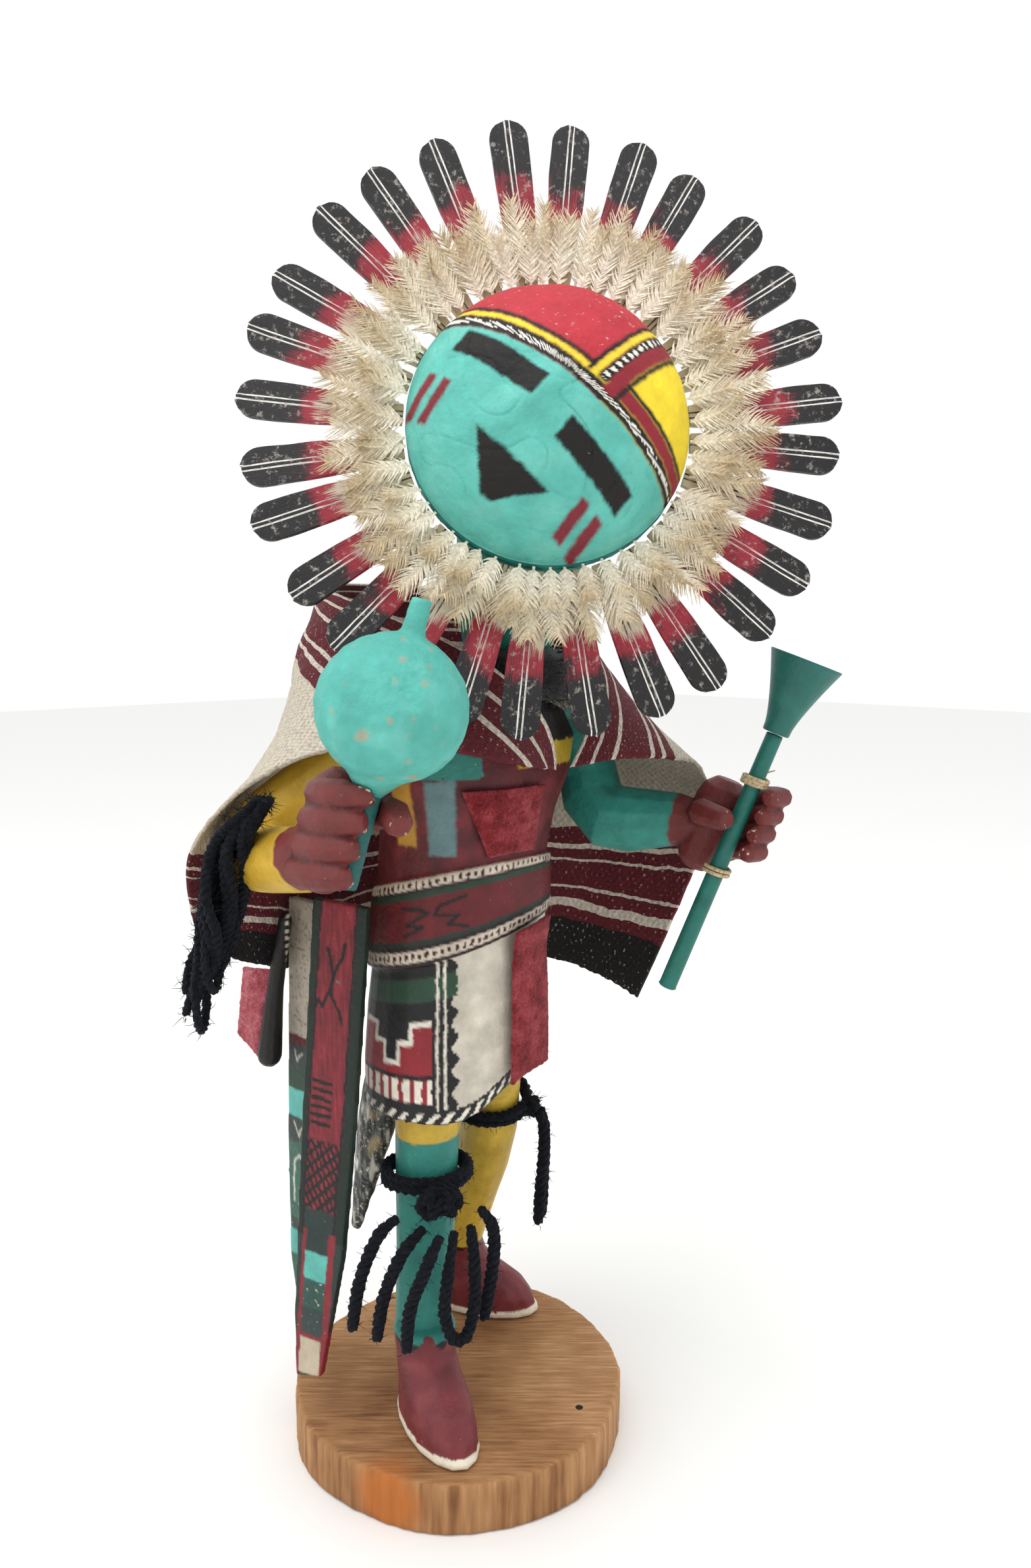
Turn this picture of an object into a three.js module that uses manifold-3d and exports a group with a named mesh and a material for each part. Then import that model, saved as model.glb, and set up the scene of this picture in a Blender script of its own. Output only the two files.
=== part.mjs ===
// A carved and painted wooden dancer with a sun face, standing on a sawn slice of branch.
// Millimetres, +Z up. The chest faces -Y, the dancer's right side is -X, and the origin
// is the middle of the slice's underside. The head is turned to the dancer's right.
import * as THREE from 'three';
import { mergeVertices } from 'three/addons/utils/BufferGeometryUtils.js';
import Module from 'manifold-3d';

const wasm = await Module();
wasm.setup();

// ---------------------------------------------------------------- driving dimensions
const GAP = 0.3;                       // clearance between pieces that are glued together
const BASE = { diameter: 97, thickness: 15, chamfer: 1.3 };
const BOOT = { length: 38, halfWidth: 8.6, height: 26 };
const FLOOR = BASE.thickness + GAP;    // the boots stand here
const BODY_SIDES = 26;
const SUN = {
  centre: new THREE.Vector3(-7.6, -41.8, 280.1),
  facing: new THREE.Vector3(-0.64, -0.735, 0.216).normalize(),
  discRadius: 33.8,
  discThickness: 4,
  domeRadius: 33.6,
  domeHeight: 27,
  featherCount: 28,
  featherTip: 72.5,
  featherRoot: 34.4,
  featherHalfWidth: 4.6,
  featherThickness: 1.6,
  firstFeather: 5.5,                   // degrees clockwise from the top, seen from the front
  ruffRadius: 49,
};
const YARN = 4;                        // thickness of the black wool yarn

// ---------------------------------------------------------------- small tools
const vec = (x, y, z) => new THREE.Vector3(x, y, z);
const lerp = THREE.MathUtils.lerp;
const rad = THREE.MathUtils.degToRad;

// A closed skin over a stack of rings that all have the same number of points.
function skin(rings) {
  const sides = rings[0].length;
  const points = rings.flat();
  const index = [];
  for (let r = 0; r + 1 < rings.length; r += 1) {
    for (let i = 0; i < sides; i += 1) {
      const a = r * sides + i;
      const b = r * sides + (i + 1) % sides;
      index.push(a, b, b + sides, a, b + sides, a + sides);
    }
  }
  const close = (start, flip) => {
    const middle = vec(0, 0, 0);
    for (let i = 0; i < sides; i += 1) middle.add(points[start + i]);
    points.push(middle.divideScalar(sides));
    const m = points.length - 1;
    for (let i = 0; i < sides; i += 1) {
      const a = start + i;
      const b = start + (i + 1) % sides;
      index.push(...(flip ? [m, b, a] : [m, a, b]));
    }
  };
  close(0, true);
  close((rings.length - 1) * sides, false);
  const geometry = new THREE.BufferGeometry().setFromPoints(points);
  geometry.setIndex(index);
  return outward(geometry);
}

// Turns a closed skin the right way out when its volume comes out negative.
function outward(geometry) {
  const p = geometry.attributes.position;
  const index = geometry.index.array;
  const [a, b, c] = [vec(), vec(), vec()];
  let volume = 0;
  for (let i = 0; i < index.length; i += 3) {
    a.fromBufferAttribute(p, index[i]);
    b.fromBufferAttribute(p, index[i + 1]);
    c.fromBufferAttribute(p, index[i + 2]);
    volume += a.dot(b.cross(c));
  }
  if (volume < 0) {
    for (let i = 0; i < index.length; i += 3) {
      [index[i], index[i + 1]] = [index[i + 1], index[i]];
    }
  }
  return geometry;
}

// An oval; power 2 is an ellipse, more is squarer. rise lifts each of its points.
function oval(centre, rx, ry, { sides = BODY_SIDES, power = 2.3, rise = () => 0 } = {}) {
  return Array.from({ length: sides }, (_, i) => {
    const angle = (i / sides) * Math.PI * 2;
    const bend = (v) => Math.sign(v) * Math.abs(v) ** (2 / power);
    const x = rx * bend(Math.cos(angle));
    const y = ry * bend(Math.sin(angle));
    return vec(centre.x + x, centre.y + y, centre.z + rise(x, y));
  });
}

// A limb: a round section swept along a smooth curve, its radius read from a list, with
// round ends. flat squashes the section along its second direction.
function limb(points, radii, { sides = 12, steps = 8, flat = 1, cap = 3 } = {}) {
  const curve = new THREE.CatmullRomCurve3(points);
  const frames = curve.computeFrenetFrames(steps, false);
  const radiusAt = (t) => {
    const at = t * (radii.length - 1);
    const low = Math.min(Math.floor(at), radii.length - 2);
    return lerp(radii[low], radii[low + 1], at - low);
  };
  const ring = (step, along, scale) => {
    const centre = curve.getPointAt(step / steps).addScaledVector(frames.tangents[step], along);
    const radius = radiusAt(step / steps) * scale;
    return Array.from({ length: sides }, (_, i) => {
      const angle = (i / sides) * Math.PI * 2;
      return centre.clone()
        .addScaledVector(frames.normals[step], Math.cos(angle) * radius)
        .addScaledVector(frames.binormals[step], Math.sin(angle) * radius * flat);
    });
  };
  const rings = [];
  for (let i = 1; i < cap; i += 1) {
    const angle = (1 - i / cap) * Math.PI / 2;
    rings.push(ring(0, -radiusAt(0) * Math.sin(angle), Math.cos(angle)));
  }
  for (let i = 0; i <= steps; i += 1) rings.push(ring(i, 0, 1));
  for (let i = cap - 1; i > 0; i -= 1) {
    const angle = (1 - i / cap) * Math.PI / 2;
    rings.push(ring(steps, radiusAt(1) * Math.sin(angle), Math.cos(angle)));
  }
  return skin(rings);
}

// A piece of yarn: a round section extruded along a smooth route.
function yarn(points, diameter = YARN) {
  const route = new THREE.CatmullRomCurve3(points);
  const section = new THREE.Shape().absarc(0, 0, diameter / 2, 0, Math.PI * 2);
  const steps = Math.max(7, Math.round(route.getLength() / (diameter * 1.4)));
  return new THREE.ExtrudeGeometry(section, { steps, curveSegments: 4, extrudePath: route });
}

// A flat board cut to an outline. The outline's x and y run along across and up.
function board(outline, thickness, { at, across, up }) {
  const shape = Array.isArray(outline) ? new THREE.Shape(outline) : outline;
  const geometry = new THREE.ExtrudeGeometry(shape, {
    depth: thickness, bevelEnabled: false, curveSegments: 8,
  });
  const y = up.clone().normalize();
  const x = across.clone().addScaledVector(y, -across.dot(y)).normalize();
  const frame = new THREE.Matrix4().makeBasis(x, y, x.clone().cross(y)).setPosition(at);
  return geometry.applyMatrix4(frame);
}

// A thin bent plate over a surface: place(u, v, offset) gives a point for u and v in 0..1.
function plate(place, thickness, columns, rows) {
  const across = (v) => {
    const front = [];
    const back = [];
    for (let i = 0; i <= columns; i += 1) {
      front.push(place(i / columns, v, thickness));
      back.unshift(place(i / columns, v, 0));
    }
    return [...front, ...back];
  };
  return skinStrip(Array.from({ length: rows + 1 }, (_, j) => across(j / rows)), columns + 1);
}

// Like skin, but its two end rings are narrow strips that are closed by quads.
function skinStrip(rings, width) {
  const sides = rings[0].length;
  const points = rings.flat();
  const index = [];
  for (let r = 0; r + 1 < rings.length; r += 1) {
    for (let i = 0; i < sides; i += 1) {
      const a = r * sides + i;
      const b = r * sides + (i + 1) % sides;
      index.push(a, b, b + sides, a, b + sides, a + sides);
    }
  }
  const close = (start, flip) => {
    for (let i = 0; i + 1 < width; i += 1) {
      const a = start + i;
      const b = start + i + 1;
      const c = start + sides - 2 - i;
      const d = start + sides - 1 - i;
      index.push(...(flip ? [a, c, b, a, d, c] : [a, b, c, a, c, d]));
    }
  };
  close(0, true);
  close((rings.length - 1) * sides, false);
  const geometry = new THREE.BufferGeometry().setFromPoints(points);
  geometry.setIndex(index);
  return outward(geometry);
}

// A profile of radius and height pairs turned round the z axis.
const turned = (profile, segments) => new THREE.LatheGeometry(
  profile.map(([r, z]) => new THREE.Vector2(r, z)), segments).rotateX(Math.PI / 2);

// Joins and cuts.
function solid(geometry) {
  const bare = geometry.clone();
  bare.deleteAttribute('normal');
  bare.deleteAttribute('uv');
  const merged = mergeVertices(bare, 1e-4);
  return new wasm.Manifold(new wasm.Mesh({
    numProp: 3,
    vertProperties: Float32Array.from(merged.attributes.position.array),
    triVerts: Uint32Array.from(merged.index.array),
  }));
}

function geometryOf(manifold) {
  const mesh = manifold.getMesh();
  const geometry = new THREE.BufferGeometry();
  geometry.setAttribute('position', new THREE.BufferAttribute(mesh.vertProperties, 3));
  geometry.setIndex(new THREE.BufferAttribute(mesh.triVerts, 1));
  return geometry;
}

const join = (...geometries) => geometryOf(
  geometries.map(solid).reduce((whole, piece) => whole.add(piece)));

const cut = (geometry, ...tools) => geometryOf(
  tools.map(solid).reduce((whole, tool) => whole.subtract(tool), solid(geometry)));

const doll = new THREE.Group();

function add(name, geometry, color, roughness = 0.8) {
  const material = new THREE.MeshStandardMaterial({ color, roughness, metalness: 0 });
  const mesh = new THREE.Mesh(geometry, material);
  mesh.name = name;
  doll.add(mesh);
}

// ---------------------------------------------------------------- sawn slice of branch
function slice() {
  const outline = (z, inset) => Array.from({ length: 40 }, (_, i) => {
    const angle = (i / 40) * Math.PI * 2;
    const wander = 0.5 * Math.sin(3 * angle + 0.6) + 0.35 * Math.sin(7 * angle);
    const radius = BASE.diameter / 2 - inset + wander;
    return vec(Math.cos(angle) * radius, Math.sin(angle) * radius, z);
  });
  const { thickness, chamfer } = BASE;
  return skin([
    outline(0, chamfer), outline(chamfer, 0),
    outline(thickness - chamfer, 0), outline(thickness, chamfer),
  ]);
}
add('base', slice(), '#9c6f45');

// ---------------------------------------------------------------- carved figure
// Heights, middles and half sizes of the body from the kilt's hem up to the neck. slope
// says how much a level rises towards the dancer's left and towards the back, and step
// how far the hem steps up from the right leg to the left one.
const TRUNK = [
  { z: 107, x: 0, y: 0, rx: 26.5, ry: 23.5, slope: [0, 0], step: 5.5 },
  { z: 119, x: 0, y: 0, rx: 26.5, ry: 23.5, slope: [0.06, 0], step: 4.5 },
  { z: 134, x: 0, y: -0.5, rx: 25.6, ry: 22.8, slope: [0.18, 0], step: 1.5 },
  { z: 147.6, x: 0, y: -1, rx: 24.4, ry: 22, slope: [0.21, -0.2], step: 0 },
  { z: 148.6, x: 0, y: -1, rx: 26, ry: 23.4, slope: [0.21, -0.2], step: 0 },
  { z: 166.3, x: 0, y: -2.5, rx: 25, ry: 22.6, slope: [0.01, -0.27], step: 0 },
  { z: 167.3, x: 0, y: -2.5, rx: 23.6, ry: 21.2, slope: [0.01, -0.27], step: 0 },
  { z: 182, x: 0.5, y: -4.5, rx: 25, ry: 21, slope: [0, -0.14], step: 0 },
  { z: 194, x: 1.5, y: -6.5, rx: 28.5, ry: 20.5, slope: [0, 0], step: 0 },
  { z: 204, x: 2.5, y: -8.5, rx: 29, ry: 18.5, slope: [0, 0], step: 0 },
  { z: 211, x: 3.5, y: -11, rx: 23, ry: 14, slope: [0, 0], step: 0 },
  { z: 215, x: 4, y: -12.5, rx: 12, ry: 11, slope: [0, 0], step: 0 },
];
const riseOf = ({ slope, step }) => (x, y) => (
  slope[0] * x + slope[1] * y + step * Math.tanh((x + 8) / 8));
const trunkRings = (levels, extra) => levels.map((level) => oval(
  vec(level.x, level.y, level.z), level.rx + extra, level.ry + extra, { rise: riseOf(level) }));
const trunk = skin(trunkRings(TRUNK, 0));

// A point of the trunk's surface. angle is in degrees: 0 is the front, -90 the dancer's
// right side.
function trunkPoint(angle, z, offset = 0) {
  const i = Math.max(0, Math.min(TRUNK.length - 2, TRUNK.findIndex((s) => s.z > z) - 1));
  const [low, high] = [TRUNK[i], TRUNK[i + 1]];
  const t = (z - low.z) / (high.z - low.z);
  const mid = (key) => lerp(low[key], high[key], t);
  const x = Math.sin(rad(angle));
  const y = -Math.cos(rad(angle));
  const reach = ((Math.abs(x) / mid('rx')) ** 2.3 + (Math.abs(y) / mid('ry')) ** 2.3) ** (-1 / 2.3);
  const r = reach + offset;
  const lift = lerp(riseOf(low)(x * r, y * r), riseOf(high)(x * r, y * r), t);
  return vec(mid('x') + x * r, mid('y') + y * r, z + lift);
}

// A boot is a stack of long ovals that shrink back towards the ankle.
const BOOT_STACK = [
  { up: 0, toe: 1, heel: 0, wide: 0.96 },
  { up: 1.8, toe: 1.01, heel: -0.02, wide: 1.04 },
  { up: 2.2, toe: 0.98, heel: 0.01, wide: 0.97 },
  { up: 6, toe: 0.95, heel: 0, wide: 0.98 },
  { up: 10.5, toe: 0.86, heel: 0, wide: 0.96 },
  { up: 15, toe: 0.66, heel: 0.01, wide: 0.94 },
  { up: 19, toe: 0.53, heel: 0.02, wide: 0.93 },
  { up: 25.5, toe: 0.47, heel: 0.0, wide: 1.02 },
  { up: 26.5, toe: 0.44, heel: 0.03, wide: 0.93 },
];

function boot(heel, toe, lean) {
  const forward = toe.clone().sub(heel).normalize();
  const aside = vec(-forward.y, forward.x, 0);
  return skin(BOOT_STACK.map(({ up, toe: front, heel: back, wide }) => {
    const half = (front - back) * BOOT.length / 2;
    const middle = heel.clone().addScaledVector(forward, back * BOOT.length + half);
    middle.addScaledVector(lean, up / BOOT.height);
    return Array.from({ length: 16 }, (_, i) => {
      const angle = (i / 16) * Math.PI * 2;
      const narrow = 1 - 0.1 * Math.cos(angle + Math.PI) * (half > 14 ? 1 : 0);
      return middle.clone()
        .addScaledVector(forward, Math.cos(angle) * half)
        .addScaledVector(aside, Math.sin(angle) * BOOT.halfWidth * wide * narrow)
        .setZ(FLOOR + up);
    });
  }));
}

const LEGS = {
  right: {
    heel: vec(-17.5, 3, 0), toe: vec(-28, -33.5, 0), lean: vec(1, -1, 0),
    path: [vec(-18, -4, 34), vec(-16, -3, 52), vec(-13.5, -1.5, 78), vec(-12, -1, 108)],
  },
  left: {
    heel: vec(18, 36.5, 0), toe: vec(37.3, 3.8, 0), lean: vec(-1.5, -2.5, 0),
    path: [vec(21.5, 26, 34), vec(20.5, 19, 52), vec(17.5, 6, 82), vec(14, 1, 112)],
  },
};
const legRadii = [7.6, 8, 8.8, 9.4];
const legs = Object.values(LEGS).flatMap(({ heel, toe, lean, path }) => [
  boot(heel, toe, lean), limb(path, legRadii, { sides: 14, steps: 6, cap: 2 }),
]);
add('figure', join(trunk, ...legs), '#6b1a2a');

// ---------------------------------------------------------------- arms and hands
// Each arm is carved with its hand. The fist is a palm with four fingers and a thumb
// bent round the thing it holds.
const RATTLE = {
  centre: vec(-64.4, -52, 217.2), axis: vec(0.195, -0.195, 0.961).normalize(),
  radius: 16.2, stub: 7, below: 39, held: 27.5,
};
const FLUTE = { bottom: vec(38.2, -45.3, 134), top: vec(59.4, -73.5, 225), held: 49 };
const fluteAxis = FLUTE.top.clone().sub(FLUTE.bottom).normalize();
const RIGHT = {
  shoulder: vec(-37, -7, 203), elbow: vec(-58.5, 13, 179.5), wrist: vec(-67, -24, 182),
  palm: vec(-68.5, -36, 190), gripAxis: RATTLE.axis,
  grip: RATTLE.centre.clone().addScaledVector(RATTLE.axis, -RATTLE.held),
};
const LEFT = {
  shoulder: vec(40, -9, 203), elbow: vec(40, -19, 180), wrist: vec(51, -38, 179),
  palm: vec(55, -47, 178), gripAxis: fluteAxis,
  grip: FLUTE.bottom.clone().addScaledVector(fluteAxis, FLUTE.held),
};
const HANDLE = 5.7;
const ROD = 4.6;

// The rattle: a round gourd shape on a handle, with a short stub on top.
function rattle(extra = 0) {
  const { below, stub } = RATTLE;
  const radius = RATTLE.radius + extra;
  const profile = [
    [0, -below - extra], [HANDLE / 2 + extra, -below - extra], [HANDLE / 2 + extra, -radius - 2],
  ];
  for (let i = 1; i < 11; i += 1) {
    const angle = -Math.PI / 2 + (i / 12 + 0.04) * Math.PI;
    profile.push([radius * Math.cos(angle), radius * 0.97 * Math.sin(angle)]);
  }
  profile.push([2.6, radius * 0.98], [2.1, radius + stub], [0, radius + stub]);
  const turn = new THREE.Quaternion().setFromUnitVectors(vec(0, 0, 1), RATTLE.axis);
  return turned(profile, 18).applyQuaternion(turn).translate(...RATTLE.centre.toArray());
}
add('rattle', rattle(), '#3fb3a3');

// A finger bends from the palm, round the outside of the grip, to its tip.
function finger(palm, grip, axis, height, outside, reach, radius) {
  const lift = axis.clone().multiplyScalar(height);
  const toGrip = grip.clone().sub(palm);
  const start = palm.clone().addScaledVector(outside, radius * 1.6).add(lift);
  const knuckle = palm.clone().addScaledVector(toGrip, 0.55)
    .addScaledVector(outside, reach).add(lift);
  const bend = grip.clone().addScaledVector(outside, reach * 0.92)
    .addScaledVector(toGrip, 0.28).add(lift);
  const tip = grip.clone().addScaledVector(outside, reach * 0.42)
    .addScaledVector(toGrip, 0.42).add(lift);
  return limb([start, knuckle, bend, tip], [radius * 0.95, radius, radius, radius * 0.86],
    { sides: 8, steps: 5, cap: 2 });
}

function fist({ palm, grip, gripAxis }, outside, { reach, pitch, radius }) {
  const fingers = [1.5, 0.5, -0.5, -1.5].map((row) => finger(
    palm, grip, gripAxis, row * pitch, outside, reach, radius));
  const heelOfHand = limb(
    [palm.clone().addScaledVector(gripAxis, -7.5), palm.clone().addScaledVector(gripAxis, 7.5)],
    [6.6, 7.4], { sides: 12, steps: 2, cap: 3 });
  const toGrip = grip.clone().sub(palm);
  const inside = outside.clone().multiplyScalar(-1);
  const thumb = limb([
    palm.clone().addScaledVector(inside, 4).addScaledVector(gripAxis, 4),
    palm.clone().addScaledVector(inside, 8.5).addScaledVector(toGrip, 0.5)
      .addScaledVector(gripAxis, 5),
    grip.clone().addScaledVector(inside, 6.6).addScaledVector(toGrip, 0.22)
      .addScaledVector(gripAxis, 3),
  ], [4, 3.9, 3.3], { sides: 8, steps: 4, cap: 2 });
  return [heelOfHand, thumb, ...fingers];
}

// The clear bore round the thing a hand holds.
function bore(axis, at, diameter) {
  const ends = [-40, 40].map((d) => at.clone().addScaledVector(axis, d));
  return limb(ends, [diameter / 2 + GAP, diameter / 2 + GAP], { sides: 12, steps: 2 });
}

const rightOutside = vec(-0.62, 0.78, 0).normalize();
add('right_arm', cut(join(
  limb([RIGHT.shoulder, vec(-49, 6, 190), RIGHT.elbow, vec(-63, 0, 178.5), RIGHT.wrist],
    [8.5, 8.6, 9.2, 8.2, 7.6], { sides: 12, steps: 8 }),
  limb([RIGHT.wrist, RIGHT.palm], [7, 6.8], { sides: 12, steps: 2 }),
  ...fist(RIGHT, rightOutside, { reach: 7.6, pitch: 6, radius: 3.4 }),
), rattle(GAP), trunk), '#d9a521');

const leftOutside = vec(0.86, -0.5, 0.04).normalize();
add('left_arm', cut(join(
  limb([LEFT.shoulder, vec(41.5, -12, 191), LEFT.elbow, LEFT.wrist],
    [8.5, 9, 9.8, 7.8], { sides: 12, steps: 7 }),
  limb([LEFT.wrist, LEFT.palm], [6.6, 6.4], { sides: 12, steps: 2 }),
  ...fist(LEFT, leftOutside, { reach: 9, pitch: 5.4, radius: 3 }),
), bore(LEFT.gripAxis, LEFT.grip, ROD), trunk), '#37a394');

// ---------------------------------------------------------------- head and sun face
// The sun's own directions: across to the viewer's right, up, and out of the face.
const sunAcross = vec(0, 0, 1).cross(SUN.facing).normalize();
const sunUp = SUN.facing.clone().cross(sunAcross);
const sunFrame = new THREE.Matrix4()
  .makeBasis(sunAcross, sunUp, SUN.facing).setPosition(SUN.centre);
const sunPoint = (x, y, z) => vec(x, y, z).applyMatrix4(sunFrame);

const disc = turned([
  [0, -SUN.discThickness / 2], [SUN.discRadius, -SUN.discThickness / 2],
  [SUN.discRadius, SUN.discThickness / 2], [0, SUN.discThickness / 2],
], 28).applyMatrix4(sunFrame);
const neckAndHead = skin([
  [215.4, 4, -13, 9.5], [226, 3.5, -16, 11], [240, 2.5, -21, 15], [258, 2, -25.5, 18],
  [276, 2.5, -25.5, 18.6], [290, 3, -24.5, 15.5], [297, 3, -24, 9.5], [299, 3, -24, 3],
].map(([z, x, y, r]) => oval(vec(x, y, z), r, r, { sides: 16, power: 2 })));
add('head', cut(join(disc, neckAndHead), sunFrontBlock()), '#3a2a22');

// Everything in front of the disc, so that the rounded head doesn't come through it.
function sunFrontBlock() {
  return new THREE.BoxGeometry(140, 140, 60)
    .translate(0, 0, SUN.discThickness / 2 + 30.01).applyMatrix4(sunFrame);
}

// The face is a low dome with a small nose, glued on the disc over the down's quills.
function dome() {
  const start = SUN.discThickness / 2 + GAP;
  const profile = [[0, start], [SUN.domeRadius, start]];
  const steps = 7;
  for (let i = 0; i < steps; i += 1) {
    const angle = (i / steps) * Math.PI / 2;
    const r = SUN.domeRadius * Math.cos(angle) ** 0.92;
    profile.push([r, start + 1.5 + (SUN.domeHeight - 1.5) * Math.sin(angle)]);
  }
  profile.push([0, start + SUN.domeHeight]);
  return turned(profile, 28).applyMatrix4(sunFrame);
}
add('face_dome', dome(), '#3fb3a3');

// A soft ring of real down feathers, tucked in round the dome.
function ruff() {
  const inner = SUN.domeRadius + GAP;
  const start = SUN.featherThickness / 2 + 0.5;
  const profile = [
    [inner, start + 2.2], [SUN.ruffRadius - 5, start], [SUN.ruffRadius, start + 1.6],
    [SUN.ruffRadius - 2, start + 5.5], [40, start + 8.5], [inner, start + 7], [inner, start + 2.2],
  ];
  return turned(profile, 28).applyMatrix4(sunFrame);
}
add('down_ruff', ruff(), '#d8c9ae', 1);

// Twenty-eight flat wooden feathers stand round the disc like spokes. Those at the top and
// at the bottom stand out a few millimetres further.
function feather(number) {
  const { featherRoot, featherTip, featherHalfWidth, featherThickness } = SUN;
  const jitter = Math.sin(number * 2.4) * 0.9;
  const place = rad(SUN.firstFeather + (number * 360) / SUN.featherCount);
  const further = 1.3 + 1.6 * (Math.cos(place + 0.6) + Math.cos(2 * place + 0.28));
  const tip = featherTip - featherHalfWidth + further + jitter * 0.6;
  const outline = new THREE.Shape();
  outline.moveTo(-2.3, featherRoot);
  outline.lineTo(2.3, featherRoot);
  outline.quadraticCurveTo(featherHalfWidth, lerp(featherRoot, tip, 0.45), featherHalfWidth, tip);
  outline.absarc(0, tip, featherHalfWidth, 0, Math.PI, false);
  outline.quadraticCurveTo(-featherHalfWidth, lerp(featherRoot, tip, 0.45), -2.3, featherRoot);
  return new THREE.ExtrudeGeometry(outline, {
    depth: featherThickness, bevelEnabled: false, curveSegments: 3,
  }).translate(0, 0, -featherThickness / 2).rotateZ(-place - rad(jitter)).applyMatrix4(sunFrame);
}
for (let number = 0; number < SUN.featherCount; number += 1) {
  add(`feather_${String(number + 1).padStart(2, '0')}`, feather(number), '#8a2031');
}

// A ring of black fur round the neck.
add('neck_fur', cut(turned([
  [11.5, 216], [20, 215], [22, 219], [19.5, 226], [14.5, 228.5], [11.5, 216],
], 20).translate(4.4, -14.4, 0), neckAndHeadClearance()), '#17181a', 1);

function neckAndHeadClearance() {
  return skin([
    [205, 4, -13, 10], [215.4, 4, -13, 9.9], [226, 3.5, -16, 11.4], [240, 2.5, -21, 15.4],
  ].map(([z, x, y, r]) => oval(vec(x, y, z), r, r, { sides: 20, power: 2 })));
}

// ---------------------------------------------------------------- flute
const BELL = { length: 21, neck: 7.4, mouth: 20, wall: 1.4 };
const fluteTurn = new THREE.Quaternion().setFromUnitVectors(vec(0, 0, 1), fluteAxis);
const fluteLength = FLUTE.top.distanceTo(FLUTE.bottom);
const rodLength = fluteLength - BELL.length;
const onFlute = (geometry) => geometry.applyQuaternion(fluteTurn)
  .translate(...FLUTE.bottom.toArray());

add('flute_rod', onFlute(turned([
  [0, 0], [ROD / 2 + 0.3, 0], [ROD / 2, 4], [ROD / 2 - 0.1, rodLength - GAP],
  [0, rodLength - GAP],
], 14)), '#1f7d6e');

add('flute_bell', onFlute(turned([
  [0, rodLength], [BELL.neck / 2, rodLength], [BELL.neck / 2 + 0.4, rodLength + 4],
  [BELL.mouth / 2, fluteLength], [BELL.mouth / 2 - BELL.wall, fluteLength],
  [BELL.neck / 2 - 0.6, rodLength + 6], [0, rodLength + 5],
], 22)), '#2b8c7c');

// Raffia lashed round the flute above and below the hand.
for (const [name, height] of [['lashing_upper', 62.6], ['lashing_lower', 36]]) {
  const inner = ROD / 2 + GAP + 0.05;
  add(name, onFlute(turned([
    [inner, height - 1.6], [inner + 1.7, height - 1.1], [inner + 1.7, height + 1.1],
    [inner, height + 1.6], [inner, height - 1.6],
  ], 12)), '#cdb48c', 1);
}

// ---------------------------------------------------------------- cape
// One rectangle of painted canvas worn as a shawl. Each level runs from the dancer's
// right edge (-1), round the back (0), to the left edge (1): its turn in degrees from
// the back, its distance from the cape's axis and its height.
const CAPE = { axis: vec(2, -5, 0), thickness: 0.9, columns: 20, rows: 8 };
const CAPE_LEVELS = [
  { turn: [-200, 163], reach: [24, 40, 29], z: [196, 246, 197] },
  { turn: [-156, 150], reach: [36, 42, 40], z: [200, 241, 199] },
  { turn: [-114, 137], reach: [54, 44, 54], z: [207, 231, 198] },
  { turn: [-84, 126], reach: [63, 46, 65], z: [198, 207, 193] },
  { turn: [-72, 116], reach: [77, 49, 71.5], z: [178, 170, 172] },
  { turn: [-60, 106], reach: [74, 52, 55], z: [150, 131, 121] },
];

function capePoint(s, t, offset = 0) {
  const share = Math.abs(s) ** 2.6;
  const pick = ([right, back, left]) => lerp(back, s < 0 ? right : left, share);
  const points = CAPE_LEVELS.map(({ turn, reach, z }) => {
    const angle = rad(Math.abs(s) * (s < 0 ? turn[0] : turn[1]));
    const r = pick(reach) + offset;
    return vec(CAPE.axis.x + Math.sin(angle) * r, CAPE.axis.y + Math.cos(angle) * r, pick(z));
  });
  return new THREE.CatmullRomCurve3(points, false, 'centripetal').getPoint(t);
}
add('cape', plate((u, v, offset) => capePoint(u * 2 - 1, v, offset),
  CAPE.thickness, CAPE.columns, CAPE.rows), '#7a1f33', 0.95);

// ---------------------------------------------------------------- sashes and pelt
const redSash = [
  [-8.4, 0], [8.2, 0], [8.4, -60], [7.6, -98], [3.2, -134], [-4.6, -136], [-6.4, -118], [-7.8, -60],
].map(([x, y]) => new THREE.Vector2(x, y));
add('red_sash', board(redSash, 2.6, {
  at: vec(-34.6, 5.5, 162), across: vec(0.36, -0.93, 0), up: vec(0.055, -0.06, 1),
}), '#8a1628');

const brocadeSash = [
  [-7, 0], [19, 0], [19.5, -70], [18, -108], [13, -130], [4, -130], [-1, -100],
].map(([x, y]) => new THREE.Vector2(x, y));
add('brocade_sash', board(brocadeSash, 3, {
  at: vec(-29.3, 19.5, 157), across: vec(-0.04, 1, 0), up: vec(0.03, 0, 1),
}), '#e6e0d2');

// The fox pelt is carved and painted, and hangs from the belt down the back.
add('fox_pelt', cut(limb(
  [vec(6, 27, 146), vec(3, 30, 118), vec(-1, 36, 84), vec(-4, 44, 46)],
  [9, 9.5, 8, 2.6], { sides: 12, steps: 8, flat: 0.42 },
), trunkClearance()), '#8c8a86');

function trunkClearance() {
  return skin(trunkRings(TRUNK.slice(0, 8), GAP));
}

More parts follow.
